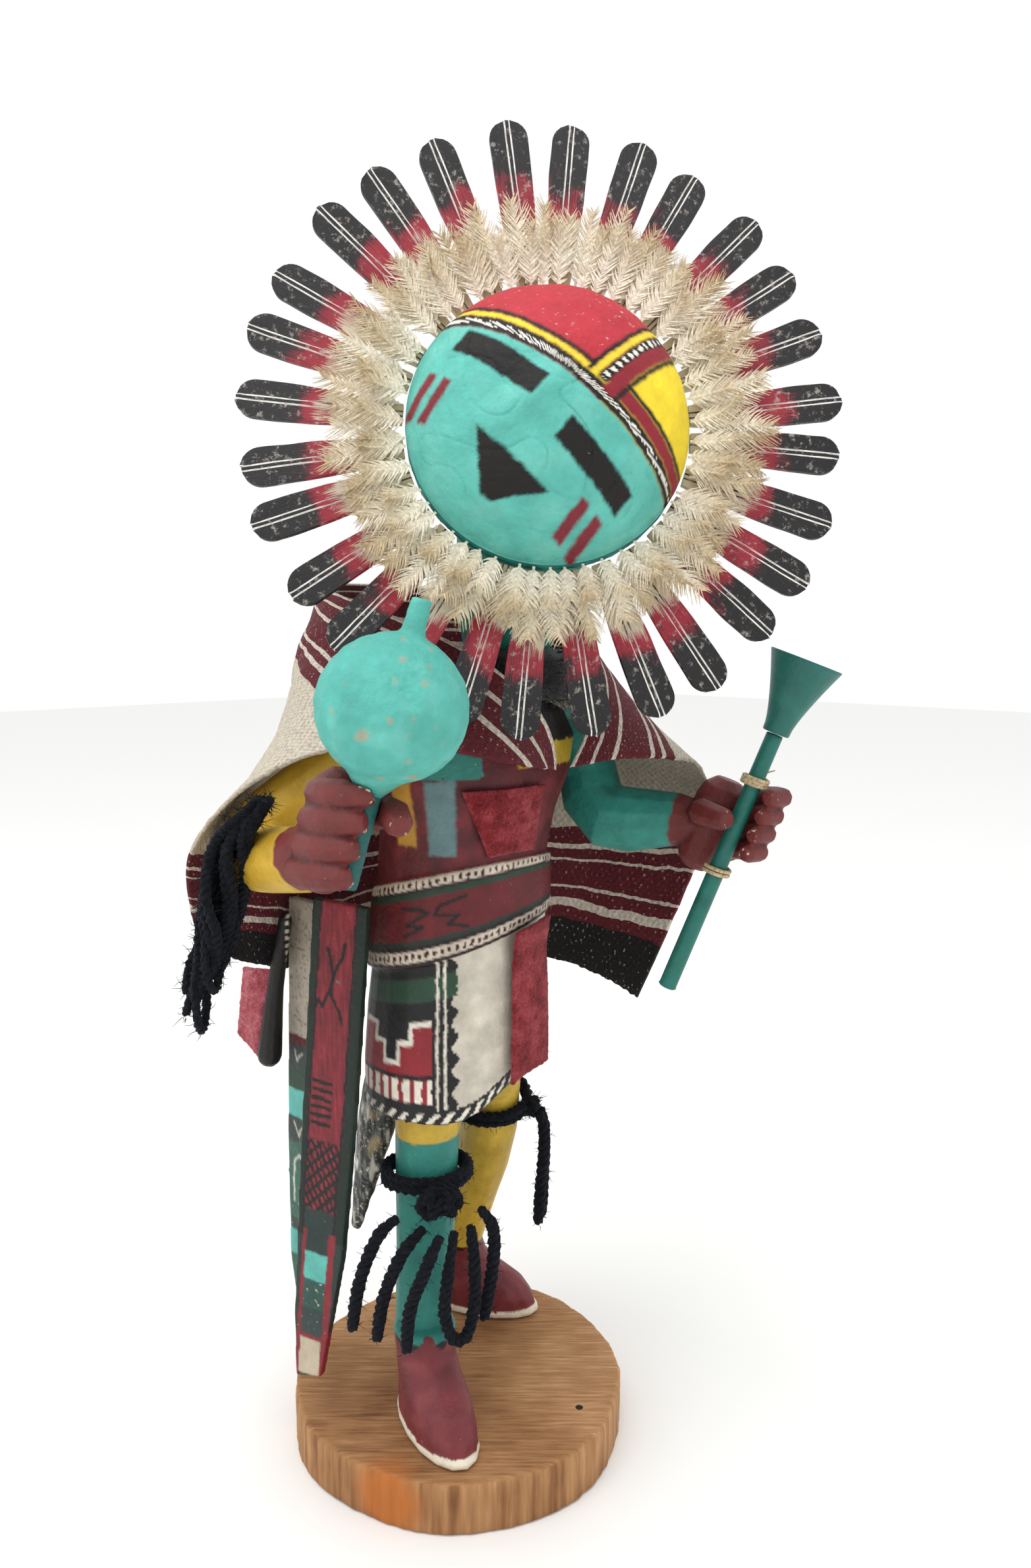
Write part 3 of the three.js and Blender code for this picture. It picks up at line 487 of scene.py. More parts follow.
def face_colours(points):
    """The painted face, in the dancer's own right and up."""
    right, up = face_axes(points)
    right = right + 0.008 * ragged(points, 2.2) + 0.006 * ragged(points, 0.7)
    up = up + 0.008 * ragged(points, 2.2, 4.0) + 0.006 * ragged(points, 0.7, 4.0)
    coat = coats(len(points), "#5cb8ab", 0.16)
    blotch = ragged(points, 7.0, 2.0)
    brush(coat, np.clip(blotch, 0, 1) * 0.5, "#7fcabd")
    brush(coat, np.clip(-blotch, 0, 1) * 0.5, "#3f9387")
    edge = 0.022
    brow = 0.06 - 0.04 * right ** 2 + 0.07 * right
    above = up - brow
    forehead = np.clip(above / edge + 0.5, 0, 1)
    spine = right - 0.28 - 0.06 * (up - 0.4)
    brush(coat, forehead * (spine < 0.0), "#b72a37", 0.42)
    brush(coat, forehead * (spine >= 0.0), "#f0d42b", 0.16)
    left_bands = [(0.0, 0.105, "#14110f"), (0.105, 0.15, "#e9cf35"), (0.15, 0.185, "#171210")]
    right_bands = [(0.0, 0.10, "#14110f"), (0.10, 0.20, "#8c1c2b"), (0.20, 0.235, "#171210")]
    for low, high, colour in left_bands:
        brush(coat, inside(above, low, high, edge) * (spine < 0.02), colour, 0.12)
    for low, high, colour in right_bands:
        brush(coat, inside(above, low, high, edge) * (spine > -0.02), colour, 0.12)
    spine_bands = [(-0.195, -0.16, "#171210"), (-0.16, -0.11, "#e9cf35"), (-0.11, -0.035, "#14110f"),
                   (-0.035, 0.06, "#8c1c2b"), (0.06, 0.095, "#171210")]
    for low, high, colour in spine_bands:
        start = 0.06 if high < -0.03 else 0.02
        brush(coat, inside(spine, low, high, edge) * np.clip((above - start - 0.04) / edge, 0, 1),
              colour, 0.12)
    arc = np.arctan2(right, up) / 0.052
    dots = (np.abs(arc - np.round(arc)) < 0.27) & (np.abs(above - 0.05) < 0.019)
    brush(coat, dots * 1.0, "#e8e4da", 0.1)
    steps = above / 0.058
    column = (np.abs(steps - np.round(steps)) < 0.27) & (np.abs(spine + 0.072) < 0.02) & (above > 0.13)
    brush(coat, column * 1.0, "#e8e4da", 0.1)
    for low, high, bottom in ((-0.72, -0.06, -0.215), (0.21, 0.80, -0.30)):
        eye = inside(right, low, high, edge) * inside(up, bottom, bottom + 0.175, edge)
        brush(coat, eye, "#100d0c", 0.28)
    slant = np.minimum((right + 0.24 + (up + 0.53) * 1.02), (0.38 - right + (up + 0.55) * 1.02))
    mouth = inside(slant, 0.0, 9, edge) * inside(up, -0.80, -0.535, edge)
    brush(coat, mouth, "#15110f", 0.22)
    for middle in (-0.73, -0.60, 0.61, 0.74):
        bar = inside(right, middle - 0.037, middle + 0.037, edge) * inside(up, -0.67, -0.39, edge)
        brush(coat, bar, "#7c2531", 0.2)
    return coat


mask_paint = brushed_paint("acrylic_on_plaster", "#c9d8cf", 420.0, 0.0009, 0.62, shade=0.2)
face = finish_piece("face_mask", dome_form, "turquoise_paint", mask_paint, "face_dome")
paint(face, face_colours)


def plain_coat(colour, wear=0.15, second=None):
    """One colour all over, with a little of a second one in patches."""
    def colours(points):
        coat = coats(len(points), colour, wear)
        if second:
            brush(coat, np.clip(ragged(points, 6.0) * 1.6, 0, 1) * 0.7, second)
        return coat
    return colours


head_back = finish_piece("head_and_disc", fine_copy("head", 0.0008 / MM, 3), "turquoise_paint",
                         mask_paint, "head")
paint(head_back, plain_coat("#2f8f84", 0.2, "#1c5f58"))


# ---------------------------------------------------------------- wooden feathers
# Flat wooden paddles glued round the disc like spokes. Each is painted from a cream root
# through crimson to a black tip, with two fine centre lines, and its edges are worn.
FEATHER_COUNT = 28
FEATHER_ROOT = 34.4
FEATHER_TIP = 72.5
FEATHER_HALF = 4.6
FEATHER_THICKNESS = 1.6
FIRST_FEATHER = 5.5


def feather_mesh(number):
    """One paddle in millimetres. Its UV map holds millimetres across and share along."""
    jitter = math.sin(number * 2.4) * 0.9
    place = math.radians(FIRST_FEATHER + number * 360 / FEATHER_COUNT)
    further = 1.3 + 1.6 * (math.cos(place + 0.6) + math.cos(2 * place + 0.28))
    shoulder = FEATHER_TIP - FEATHER_HALF + further + jitter * 0.6
    form = bmesh.new()
    bmesh.ops.create_grid(form, x_segments=14, y_segments=46, size=1)
    strain = form.loops.layers.uv.new("UVMap")
    marks = {}
    for vert in form.verts:
        side, along = vert.co.x, (vert.co.y + 1) / 2
        y = FEATHER_ROOT + (shoulder + FEATHER_HALF - FEATHER_ROOT) * along
        share = min(1, (y - FEATHER_ROOT) / (shoulder - FEATHER_ROOT))
        half = 2.3 + (FEATHER_HALF - 2.3) * (1 - (1 - share) ** 2)
        if y > shoulder:
            half = FEATHER_HALF * math.sqrt(max(0.02, 1 - ((y - shoulder) / FEATHER_HALF) ** 2))
        half *= 1 + 0.05 * noise.noise((number * 3.1, along * 5, side))
        bow = 0.5 * jitter * along ** 2 + 0.25 * noise.noise((along * 3, side, number))
        marks[vert] = (side * half, along)
        vert.co = (side * half, y, bow)
    for face in form.faces:
        for loop in face.loops:
            across, along = marks[loop.vert]
            loop[strain].uv = (across / 10 + 0.5, along)
    turn = Matrix.Rotation(-place - math.radians(jitter), 4, "Z")
    bmesh.ops.transform(form, matrix=sun_frame @ turn, verts=form.verts)
    return form


# Acrylic brushed dry over flat wood: dense at the tip, skipping into streaks where one
# colour meets the next, scratched pale along the edges.
def feather_paint():
    material, tree = new_material("acrylic_on_feather")
    marks = put(tree, "SeparateXYZ", {0: put(tree, "UVMap", uv_map="UVMap")})
    across, along = marks.node.outputs["X"], marks.node.outputs["Y"]
    place = object_place(tree)
    wide = put(tree, "TexNoise", {"Vector": place, "Scale": 110.0, "Detail": 2.0})
    hairs = put(tree, "Mapping", {"Vector": put(tree, "UVMap", uv_map="UVMap"),
                                  "Scale": (60, 5, 1)})
    bristle = put(tree, "TexNoise", {"Vector": put(tree, "VectorMath", {0: hairs, 1: place}),
                                     "Scale": 1.0, "Detail": 4.0, "Roughness": 0.7})
    shift = put(tree, "MapRange", {"Value": wide, "From Min": 0.3, "From Max": 0.7,
                                   "To Min": -0.1, "To Max": 0.1})
    spread = put(tree, "MapRange", {"Value": bristle, "From Min": 0.25, "From Max": 0.75,
                                    "To Min": -0.13, "To Max": 0.13})
    level = put(tree, "Math", {0: put(tree, "Math", {0: along, 1: shift}), 1: spread})
    field = put(tree, "ValToRGB", {0: level}, stops=[
        (0.0, "#d8c8a4"), (0.38, "#d0c4ae"), (0.43, "#9b2434"), (0.58, "#8d1d2d"),
        (0.62, "#1b191c"), (1.0, "#141316")])
    from_middle = put(tree, "Math", {0: put(tree, "Math", {0: across, 1: 0.5},
                                            operation="SUBTRACT")}, operation="ABSOLUTE")
    line = put(tree, "Math", {0: from_middle, 1: 0.058, 2: 0.019}, operation="COMPARE")
    thin = put(tree, "Math", {0: bristle, 1: 0.44}, operation="GREATER_THAN")
    drawn = put(tree, "Math", {0: line, 1: thin}, operation="MULTIPLY")
    ink = put(tree, "ValToRGB", {0: level}, stops=[
        (0.0, "#1c1614"), (0.34, "#1c1614"), (0.46, "#b9a7a2"), (0.6, "#e6e2dc")])
    lined = put(tree, "Mix", {"Factor": drawn, 6: field, 7: ink}, data_type="RGBA")
    scuff = put(tree, "TexNoise", {"Vector": place, "Scale": 520.0, "Detail": 5.0,
                                   "Roughness": 0.75})
    rub = put(tree, "MapRange", {"Value": scuff, "From Min": 0.56, "From Max": 0.68})
    worn = put(tree, "Mix", {"Factor": put(tree, "Math", {0: rub, 1: 0.7}, operation="MULTIPLY"),
                             6: lined.node.outputs[2], 7: rgba("#b9b0a6")}, data_type="RGBA")
    bump = put(tree, "Bump", {"Height": bristle, "Strength": 0.6, "Distance": 0.0004})
    put(tree, "Principled BSDF", {"Base Color": worn.node.outputs[2], "Roughness": 0.5,
                                  "Normal": bump, "Specular IOR Level": 0.4})
    return material


paddle_paint = feather_paint()
for number in range(FEATHER_COUNT):
    node_name = f"feather_{number + 1:02d}"
    paddle = finish_piece(f"wooden_{node_name}", feather_mesh(number), "feather_paint",
                          paddle_paint, node_name)
    body = paddle.modifiers.new("thickness", "SOLIDIFY")
    body.thickness = FEATHER_THICKNESS * MM
    body.offset = 0
    rounding = paddle.modifiers.new("rounding", "BEVEL")
    rounding.width = 0.3 * MM
    rounding.segments = 2
    rounding.limit_method = "ANGLE"


# ---------------------------------------------------------------- down ruff
# Two overlapping rings of real down feathers are glued to the disc's front. Each has a
# pale quill and soft barbs that part and curl, cream near the mask and tan at the tips.
def down_feather(form, angle, root, reach, rise, curl, spread, tint):
    """A quill with barbs on both sides, in the sun disc's frame."""
    paint_layer = form.verts.layers.float_color["paint"]
    out = Vector((math.sin(angle), math.cos(angle), 0))
    aside = Vector((out.y, -out.x, 0))
    lean = random.uniform(-0.25, 0.25)
    cream, tan, brown = (np.array(linear(c)) for c in ("#efe6d2", "#cfbb97", "#8f7455"))

    def quill(t):
        return (out * (root + reach * t - 2.0 * curl * t ** 3)
                + aside * (lean * reach * t * t)
                + Vector((0, 0, rise * (0.35 + 0.65 * t) - 1.5 * t + curl * 3.2 * t ** 3)))

    def colour_at(t, far):
        share = min(1, max(0, t * 0.95 + far * 0.25 - 0.25 + tint))
        colour = cream + (tan - cream) * min(1, share * 1.5)
        colour = colour + (brown - colour) * max(0, share - 0.62) * 1.5
        return (*colour, 0.0)

    def ribbon(points, width, across, tones):
        last = None
        for i, (point, tone) in enumerate(zip(points, tones)):
            half = across * (width * (1 - 0.75 * i / (len(points) - 1)))
            pair = (form.verts.new(point - half), form.verts.new(point + half))
            for vert in pair:
                vert[paint_layer] = tone
            if last:
                form.faces.new((last[0], last[1], pair[1], pair[0]))
            last = pair

    steps = [quill(i / 6) for i in range(7)]
    ribbon(steps, 0.34, aside, [(*(cream * (1.0 - 0.25 * i / 6)), 0) for i in range(7)])
    for i in range(30):
        t = 0.06 + 0.94 * (i + random.random()) / 30
        width = spread * (math.sin(math.pi * min(1, t * 0.8 + 0.12)) ** 0.7)
        for side in (-1, 1):
            length = width * random.uniform(0.75, 1.15)
            swept = 0.45 + 0.5 * t + random.uniform(-0.15, 0.15)
            way = (aside * side * (1 - swept * 0.35) + out * swept).normalized()
            start = quill(t)
            droop = random.uniform(-0.9, 1.3)
            mid = start + way * length * 0.55 + Vector((0, 0, 0.5 + 0.3 * droop))
            end = start + way * length + out * length * 0.22 + Vector((0, 0, droop))
            ribbon([start, mid, end], 0.42, out,
                   [colour_at(t, 0), colour_at(t, 0.4), colour_at(t, 1)])


# Down: fine pale barbs with almost no gloss. A strong sheen stands for their soft edges.
def down_barbs():
    material, tree = new_material("natural_down")
    coat = put(tree, "Attribute", attribute_name="paint", attribute_type="GEOMETRY")
    strands = put(tree, "TexNoise", {"Vector": object_place(tree), "Scale": 1500.0,
                                     "Detail": 3.0})
    light = put(tree, "MapRange", {"Value": strands, "From Min": 0.3, "From Max": 0.7,
                                   "To Min": 0.72, "To Max": 1.18})
    tone = put(tree, "VectorMath", {0: coat.node.outputs["Color"], "Scale": light},
               operation="SCALE")
    put(tree, "Principled BSDF", {"Base Color": tone, "Roughness": 0.9, "Sheen Weight": 0.3,
                                  "Sheen Roughness": 0.5, "Specular IOR Level": 0.1})
    return material


down = down_barbs()
RINGS = [("down_ring_back", 62, 35.5, 16.5, 5.5, 0.5, 5.2),
         ("down_ring_front", 50, 33.9, 12.0, 8.0, 1.0, 4.4)]
for name, count, root, reach, rise, curl, spread in RINGS:
    ring_form = bmesh.new()
    ring_form.verts.layers.float_color.new("paint")
    for i in range(count):
        angle = 2 * math.pi * (i + random.uniform(-0.35, 0.35)) / count
        top = 0.5 + 0.5 * math.cos(angle)
        down_feather(ring_form, angle, root, reach * random.uniform(0.82, 1.12) + 2.5 * top ** 3,
                     rise + random.uniform(-0.8, 1.2), curl * random.uniform(0.2, 1.5),
                     spread * random.uniform(0.85, 1.15), random.uniform(-0.3, 0.2))
    bmesh.ops.transform(ring_form, matrix=sun_frame, verts=ring_form.verts)
    finish_piece(name, ring_form, "down", down, "down_ruff")


# ---------------------------------------------------------------- carved figure
# Body, kilt, legs and boots are one piece of carved cottonwood root. The clothes are
# painted on it in acrylic: a maroon shirt, a banded belt and a kilt with a stepped panel.
def polyline(u, v, points, width, softness=0.3):
    """A brush stroke through the points: 1 on the line, fading at its edge."""
    nearest = np.full(len(u), 1e9)
    for (ax, ay), (bx, by) in zip(points, points[1:]):
        dx, dy = bx - ax, by - ay
        share = np.clip(((u - ax) * dx + (v - ay) * dy) / (dx * dx + dy * dy), 0, 1)
        nearest = np.minimum(nearest, np.hypot(u - ax - share * dx, v - ay - share * dy))
    return np.clip((width / 2 - nearest) / softness + 0.5, 0, 1)


def body_axes(points):
    """Angle round the body (0 in front, -90 on the right side) and the hem and belt lines."""
    x, y, z = points.T
    angle = np.degrees(np.arctan2(x, -(y + 2)))
    belt_low = 148.6 + 0.21 * x - 0.2 * (y + 1)
    belt_high = 166.3 + 0.01 * x - 0.27 * (y + 2.5)
    hem = 107 + 5.5 * np.tanh((x + 8) / 8)
    return angle, z, belt_low, belt_high, hem


def paint_boot_and_leg(coat, points, bands):
    """One leg: bands of colour below the kilt, then a maroon boot with a white sole."""
    x, y, z = points.T
    top = 40 + 1.2 * np.sin(x) + 0.8 * np.sin(y * 1.3)
    for low, high, colour in bands:
        brush(coat, inside(z + 0.8 * ragged(points, 3.0), low, high, 0.4), colour, 0.25)
    brush(coat, (z < top) * 1.0, "#6f2a2f", 0.3)
    brush(coat, np.clip(ragged(points, 5.0), 0, 1) * (z < top), "#8a3f42")
    brush(coat, np.clip(-ragged(points, 8.0), 0, 1) * (z < top) * 0.8, "#4d1a1f")
    brush(coat, (z < 17.9 + 0.7 * ragged(points, 4.0)) * 1.0, "#ddd3c0", 0.45)


def figure_colours(points):
    x = points[:, 0]
    angle, z, belt_low, belt_high, hem = body_axes(points)
    wobble = 0.35 * ragged(points, 2.5) + 0.25 * ragged(points, 0.9)
    turn = angle + wobble * 2.2
    coat = coats(len(points), "#591a20", 0.22)
    chest = z > belt_high
    brush(coat, np.clip(ragged(points, 6.0) + 0.1, 0, 1) * chest, "#7d2a30")
    brush(coat, np.clip(-ragged(points, 5.0, 3.0), 0, 1) * chest, "#33100f")
    height = z + wobble
    brush(coat, inside(turn, -85, -70, 2) * inside(height, 177, 196, 0.6), "#b98a35", 0.35)
    brush(coat, inside(turn, -62, -45, 2) * inside(height, 175, 195, 0.6), "#5d7b7e", 0.35)
    brush(coat, (height > 195.5) * (turn < -30), "#2f7f74", 0.3)
    brush(coat, (height > 197) * inside(turn, -5, 60, 3), "#c2a431", 0.25)
    brush(coat, (height > 203.5) * 1.0, "#1d1a1b", 0.1)
    # The kilt: white in front, with a black, green and red stepped panel on the right.
    fall = (belt_low - z) / (belt_low - hem) + wobble * 0.006
    kilt = fall > 0
    brush(coat, kilt * 1.0, "#c4bdae", 0.15)
    brush(coat, kilt * np.clip(ragged(points, 4.0) * 1.4, 0, 1) * 0.5, "#dcd6c9")
    brush(coat, kilt * np.clip(-ragged(points, 7.0) * 1.5, 0, 1) * 0.5, "#9c9283")
    tooth = np.abs(((fall * 7.4) % 1) - 0.5) * 2
    border = turn < -44 - 5.5 * tooth
    brush(coat, kilt * border, "#141214", 0.12)
    brush(coat, kilt * (turn < -45) * inside(fall, 0.09, 0.235, 0.01), "#23412f", 0.25)
    panel = (turn < -61) * kilt
    middle = -90
    step = np.abs(turn - middle)
    stair = np.where(step < 6, 0.62, np.where(step < 15, 0.49, 0.375))
    brush(coat, panel * (fall > stair) * inside(fall, 0.3, 0.685, 0.008), "#8a2029", 0.3)
    edge_line = inside(fall, stair - 0.022, stair + 0.012, 0.008) * 1.0
    for wall, low, high in ((6, 0.49, 0.63), (15, 0.375, 0.5)):
        edge_line = np.maximum(edge_line, inside(step, wall - 1.6, wall + 1.2, 1)
                               * inside(fall, low - 0.02, high, 0.008))
    brush(coat, panel * edge_line * (step < 29), "#ded8cb", 0.2)
    stripes = np.where(np.abs(((turn + 90) / 8.2) % 1 - 0.5) < 0.28, 1.0, 0.0)
    bars = panel * inside(fall, 0.715, 0.86, 0.008)
    brush(coat, bars, "#8a2029", 0.3)
    brush(coat, bars * stripes, "#ded8cb", 0.2)
    for line in (-57.6, -52.8):
        brush(coat, kilt * inside(turn, line - 0.8, line + 0.8, 0.7) * (fall < 0.985),
              "#d9d2c4", 0.3)
    rope = (fall > 0.905) * kilt
    brush(coat, rope * 1.0, "#161415", 0.15)
    dash = ((turn / 9.5 + fall * 9.0) % 1) < 0.42
    brush(coat, rope * dash * inside(fall, 0.925, 0.985, 0.01), "#d9d2c4", 0.3)
    # The belt: dotted white cords edge a dark red band with two black zigzags.
    rise = (z - belt_low) / (belt_high - belt_low) + wobble * 0.02
    belt = inside(rise, 0, 1.0, 0.02)
    brush(coat, belt, "#5d171d", 0.3)
    brush(coat, belt * np.clip(ragged(points, 5.0), 0, 1) * 0.7, "#772128")
    for low, high, colour in ((0.90, 1.02, "#cbbfae"), (0.86, 0.90, "#151214"),
                              (0.79, 0.86, "#1d3a2c"), (0.24, 0.30, "#1a2f26"),
                              (0.18, 0.24, "#151214"), (0.045, 0.18, "#cbbfae"),
                              (0.0, 0.045, "#151214")):
        brush(coat, inside(rise, low, high, 0.02), colour, 0.2)
    for middle in (0.955, 0.112):
        arc = (turn + 30 * middle) / 4.6
        dot = np.hypot(arc - np.round(arc), (rise - middle) / 0.16) < 0.24
        brush(coat, dot * 1.0, "#3a0f14", 0.1)
    zigzags = ([(-80, 0.70), (-68, 0.66), (-62, 0.60), (-76, 0.50), (-66, 0.44), (-78, 0.37)],
               [(-40, 0.71), (-55, 0.66), (-58, 0.56), (-44, 0.50), (-50, 0.42), (-38, 0.34)])
    for path in zigzags:
        scaled = [(a, r * 60) for a, r in path]
        brush(coat, polyline(turn, rise * 60, scaled, 2.6, 1.0) * belt, "#150f11", 0.15)
    below = (z < hem) & (z < 112)
    legs = below & ~((fall > 0) & (fall < 1) & (z > 108))
    for side, bands in ((-1, [(100, 120, "#2d7f74"), (93.5, 103, "#c4a23a"), (40, 93.5, "#2d7f74")]),
                        (1, [(103, 120, "#2d7f74"), (97, 103, "#c4a23a"), (40, 97, "#c4a23a")])):
        mine = legs & (x > 3 if side > 0 else x <= 3)
        part = coat[mine]
        paint_boot_and_leg(part, points[mine], bands)
        coat[mine] = part
    return coat


acrylic = brushed_paint("acrylic_on_cottonwood", "#d3c6b2", 600.0, 0.0005, 0.48, shade=0.3)
carving = finish_piece("carved_figure", fine_copy("figure", 0.62, 6), "figure_paint", acrylic,
                       "figure")
paint(carving, figure_colours)


# ---------------------------------------------------------------- arms, rattle and flute
# Each arm is carved with its fist and glued into the shoulder. The fingers are maroon,
# dry-brushed white over the knuckles and painted near-black in the grooves between them as
# painted shade, and the forearms are yellow and turquoise.
def ridge_wear_and_groove_shade(form, reach):
    """How far each point stands out from its smoothed neighbourhood, 0 to 1."""
    before = [v.co.copy() for v in form.verts]
    for _ in range(reach):
        bmesh.ops.smooth_vert(form, verts=form.verts, factor=0.7, use_axis_x=True,
                              use_axis_y=True, use_axis_z=True)
    form.normal_update()
    stand = [(old - v.co).dot(v.normal) for old, v in zip(before, form.verts)]
    for vert, place in zip(form.verts, before):
        vert.co = place
    form.normal_update()
    return np.array(stand)


RIGHT_WRIST, RIGHT_PALM = Vector((-67, -24, 182)), Vector((-68.5, -36, 190))
LEFT_WRIST, LEFT_PALM = Vector((51, -38, 179)), Vector((55, -47, 178))


def arm_piece(name, node_name, wrist, palm, sleeve, cuff):
    form = fine_copy(node_name, 0.5, 3)
    stand = ridge_wear_and_groove_shade(form, 14)
    piece = finish_piece(name, form, "arm_paint", acrylic, node_name)

    def colours(points):
        along = (points - np.array(wrist)) @ np.array((palm - wrist).normalized())
        coat = coats(len(points), sleeve, 0.2)
        brush(coat, np.clip(ragged(points, 5.0), 0, 1) * 0.6, cuff)
        hand = np.clip((along + 1 + 1.2 * ragged(points, 3.0)) / 0.8, 0, 1)
        brush(coat, hand, "#6b2a28", 0.25)
        ridge = np.clip((stand - 0.12) / 0.5, 0, 1)
        # Near-black is painted into the hollows between the fingers: painted shade in the grooves.
        groove_shade = np.clip((-stand - 0.05) / 0.4, 0, 1)
        brush(coat, hand * groove_shade, "#1d0c0b", 0.0)
        coat[:, 3] = np.where(hand > 0.5, 0.22 + 0.68 * ridge * (1 - groove_shade), coat[:, 3])
        return coat

    paint(piece, colours)


arm_piece("right_arm_and_fist", "right_arm", RIGHT_WRIST, RIGHT_PALM, "#c09a2e", "#d8b748")
arm_piece("left_arm_and_fist", "left_arm", LEFT_WRIST, LEFT_PALM, "#2f877b", "#1f5f58")


# The rattle is a round gourd shape on a turned handle, coated with gritty turquoise
# plaster that has rubbed through to tan in a few places.
def rattle_colours(points):
    coat = coats(len(points), "#52ada1", 0.12)
    brush(coat, np.clip(ragged(points, 5.0), 0, 1) * 0.6, "#74c4b8")
    brush(coat, np.clip(-ragged(points, 7.0), 0, 1) * 0.5, "#3d9084")
    brush(coat, np.clip((ragged(points, 3.4, 8.0) - 0.42) * 4, 0, 1) * 0.7, "#a89a7c")
    centre = np.array((-64.4, -52, 217.2))
    away = np.linalg.norm(points - centre, axis=1)
    brush(coat, (away > 18.5) * (points[:, 2] < 205), "#1f5c58", 0.25)
    return coat


gourd_form = fine_copy("rattle", 0.45, 4)
gourd_points = np.array([v.co for v in gourd_form.verts])
gourd_form.normal_update()
pits = 0.16 * ragged(gourd_points, 2.4) + 0.09 * ragged(gourd_points, 0.9)
for vert, pit in zip(gourd_form.verts, pits):
    vert.co += vert.normal * float(pit)
gourd = finish_piece("gourd_rattle", gourd_form, "turquoise_paint", mask_paint, "rattle")
paint(gourd, rattle_colours)

# The flute is a turned rod with a flared, hollow bell glued on, both painted teal. Loops
# of pale raffia tie it above and below the fist.
FLUTE_BOTTOM, FLUTE_TOP = Vector((38.2, -45.3, 134)), Vector((59.4, -73.5, 225))
flute_way = (FLUTE_TOP - FLUTE_BOTTOM).normalized()
flute_length = (FLUTE_TOP - FLUTE_BOTTOM).length
flute_frame = Matrix.Translation(FLUTE_BOTTOM) @ flute_way.to_track_quat("Z", "Y").to_matrix().to_4x4()


def turned_piece(profile, steps=72):
    """Spins (radius, height) pairs round the flute's own axis."""
    form = bmesh.new()
    verts = [form.verts.new((r, 0, h)) for r, h in profile]
    edges = [form.edges.new(pair) for pair in zip(verts, verts[1:])]
    bmesh.ops.spin(form, geom=verts + edges, axis=(0, 0, 1), cent=(0, 0, 0), steps=steps,
                   angle=2 * math.pi, use_merge=True)
    bmesh.ops.remove_doubles(form, verts=form.verts, dist=0.005)
    bmesh.ops.recalc_face_normals(form, faces=form.faces)
    return form


def along_flute(form):
    bmesh.ops.transform(form, matrix=flute_frame, verts=form.verts)
    return form


BELL_LENGTH = 21.0
rod_end = flute_length - BELL_LENGTH
rod_profile = [(0, 0), (2.3, 0), (2.6, 0.3)]
rod_profile += [(2.45 - 0.15 * i / 60, 0.8 + (rod_end - 1.4) * i / 60) for i in range(61)]
rod_profile += [(2.1, rod_end - 0.35), (0, rod_end - 0.3)]
rod_form = along_flute(turned_piece(rod_profile, 48))
bell_profile = [(0, rod_end), (3.5, rod_end), (3.7, rod_end + 0.3)]
bell_profile += [(3.8 + 6.1 * (i / 24) ** 1.25, rod_end + 2 + (BELL_LENGTH - 2.3) * i / 24)
                 for i in range(25)]
bell_profile += [(9.8, flute_length), (8.9, flute_length), (8.6, flute_length - 0.4)]
bell_profile += [(8.4 - 5.3 * i / 18, flute_length - 0.8 - 13.6 * i / 18) for i in range(19)]
bell_profile += [(0, rod_end + 5.2)]
bell_form = along_flute(turned_piece(bell_profile))
teal = brushed_paint("acrylic_on_turned_wood", "#8fb4a8", 800.0, 0.0003, 0.4, shade=0.2)
rod = finish_piece("flute_stick", rod_form, "teal_paint", teal, "flute_rod")
bell = finish_piece("flute_horn", bell_form, "teal_paint", teal, "flute_bell")
paint(rod, plain_coat("#1f6b60", 0.25, "#17544c"))
paint(bell, plain_coat("#23675f", 0.25, "#357d73"))


def raffia():
    material, tree = new_material("dried_raffia")
    fibre = put(tree, "TexNoise", {"Vector": object_place(tree), "Scale": 1300.0, "Detail": 4.0})
    colour = put(tree, "ValToRGB", {0: fibre}, stops=[(0.3, "#8b7350"), (0.7, "#d9c6a0")])
    put(tree, "Principled BSDF", {"Base Color": colour, "Roughness": 0.75})
    return material


straw = raffia()
for name, height, wraps in (("upper", 62.6, 3), ("lower", 36.0, 2)):
    form = bmesh.new()
    winding = []
    for i in range(wraps * 24 + 1):
        angle = 2 * math.pi * i / 24
        winding.append(flute_frame @ Vector((3.4 * math.cos(angle), 3.4 * math.sin(angle),
                                             height - 1.2 + 2.4 * i / (wraps * 24))))
    sweep(form, winding, lambda t, k: 0.55, sides=6)
    for lean in (-0.6, 0.7):
        tail = [winding[-1] + Vector((lean * 2 * k, -1.1 * k, 0.6 * k * lean)) for k in range(4)]
        sweep(form, tail, lambda t, k: 0.4 * (1 - 0.5 * t), sides=5)
    finish_piece(f"raffia_tie_{name}", form, "raffia", straw, f"lashing_{name}")


# ---------------------------------------------------------------- canvas cape
# One rectangle of coarse cotton canvas, worn over both shoulders as a shawl. It is
# painted with a maroon border, a cream field, a banded maroon strip and a black hem.
CAPE_AXIS = Vector((2, -5, 0))
CAPE_THICKNESS = 0.9
CAPE_LEVELS = [
    ((-200, 163), (24, 40, 29), (196, 246, 197)),
    ((-156, 150), (36, 42, 40), (200, 241, 199)),
    ((-114, 137), (54, 44, 54), (207, 231, 198)),
    ((-84, 126), (63, 46, 65), (198, 207, 193)),
    ((-72, 116), (77, 49, 71.5), (178, 170, 172)),
    ((-60, 106), (74, 52, 55), (150, 131, 121)),
]


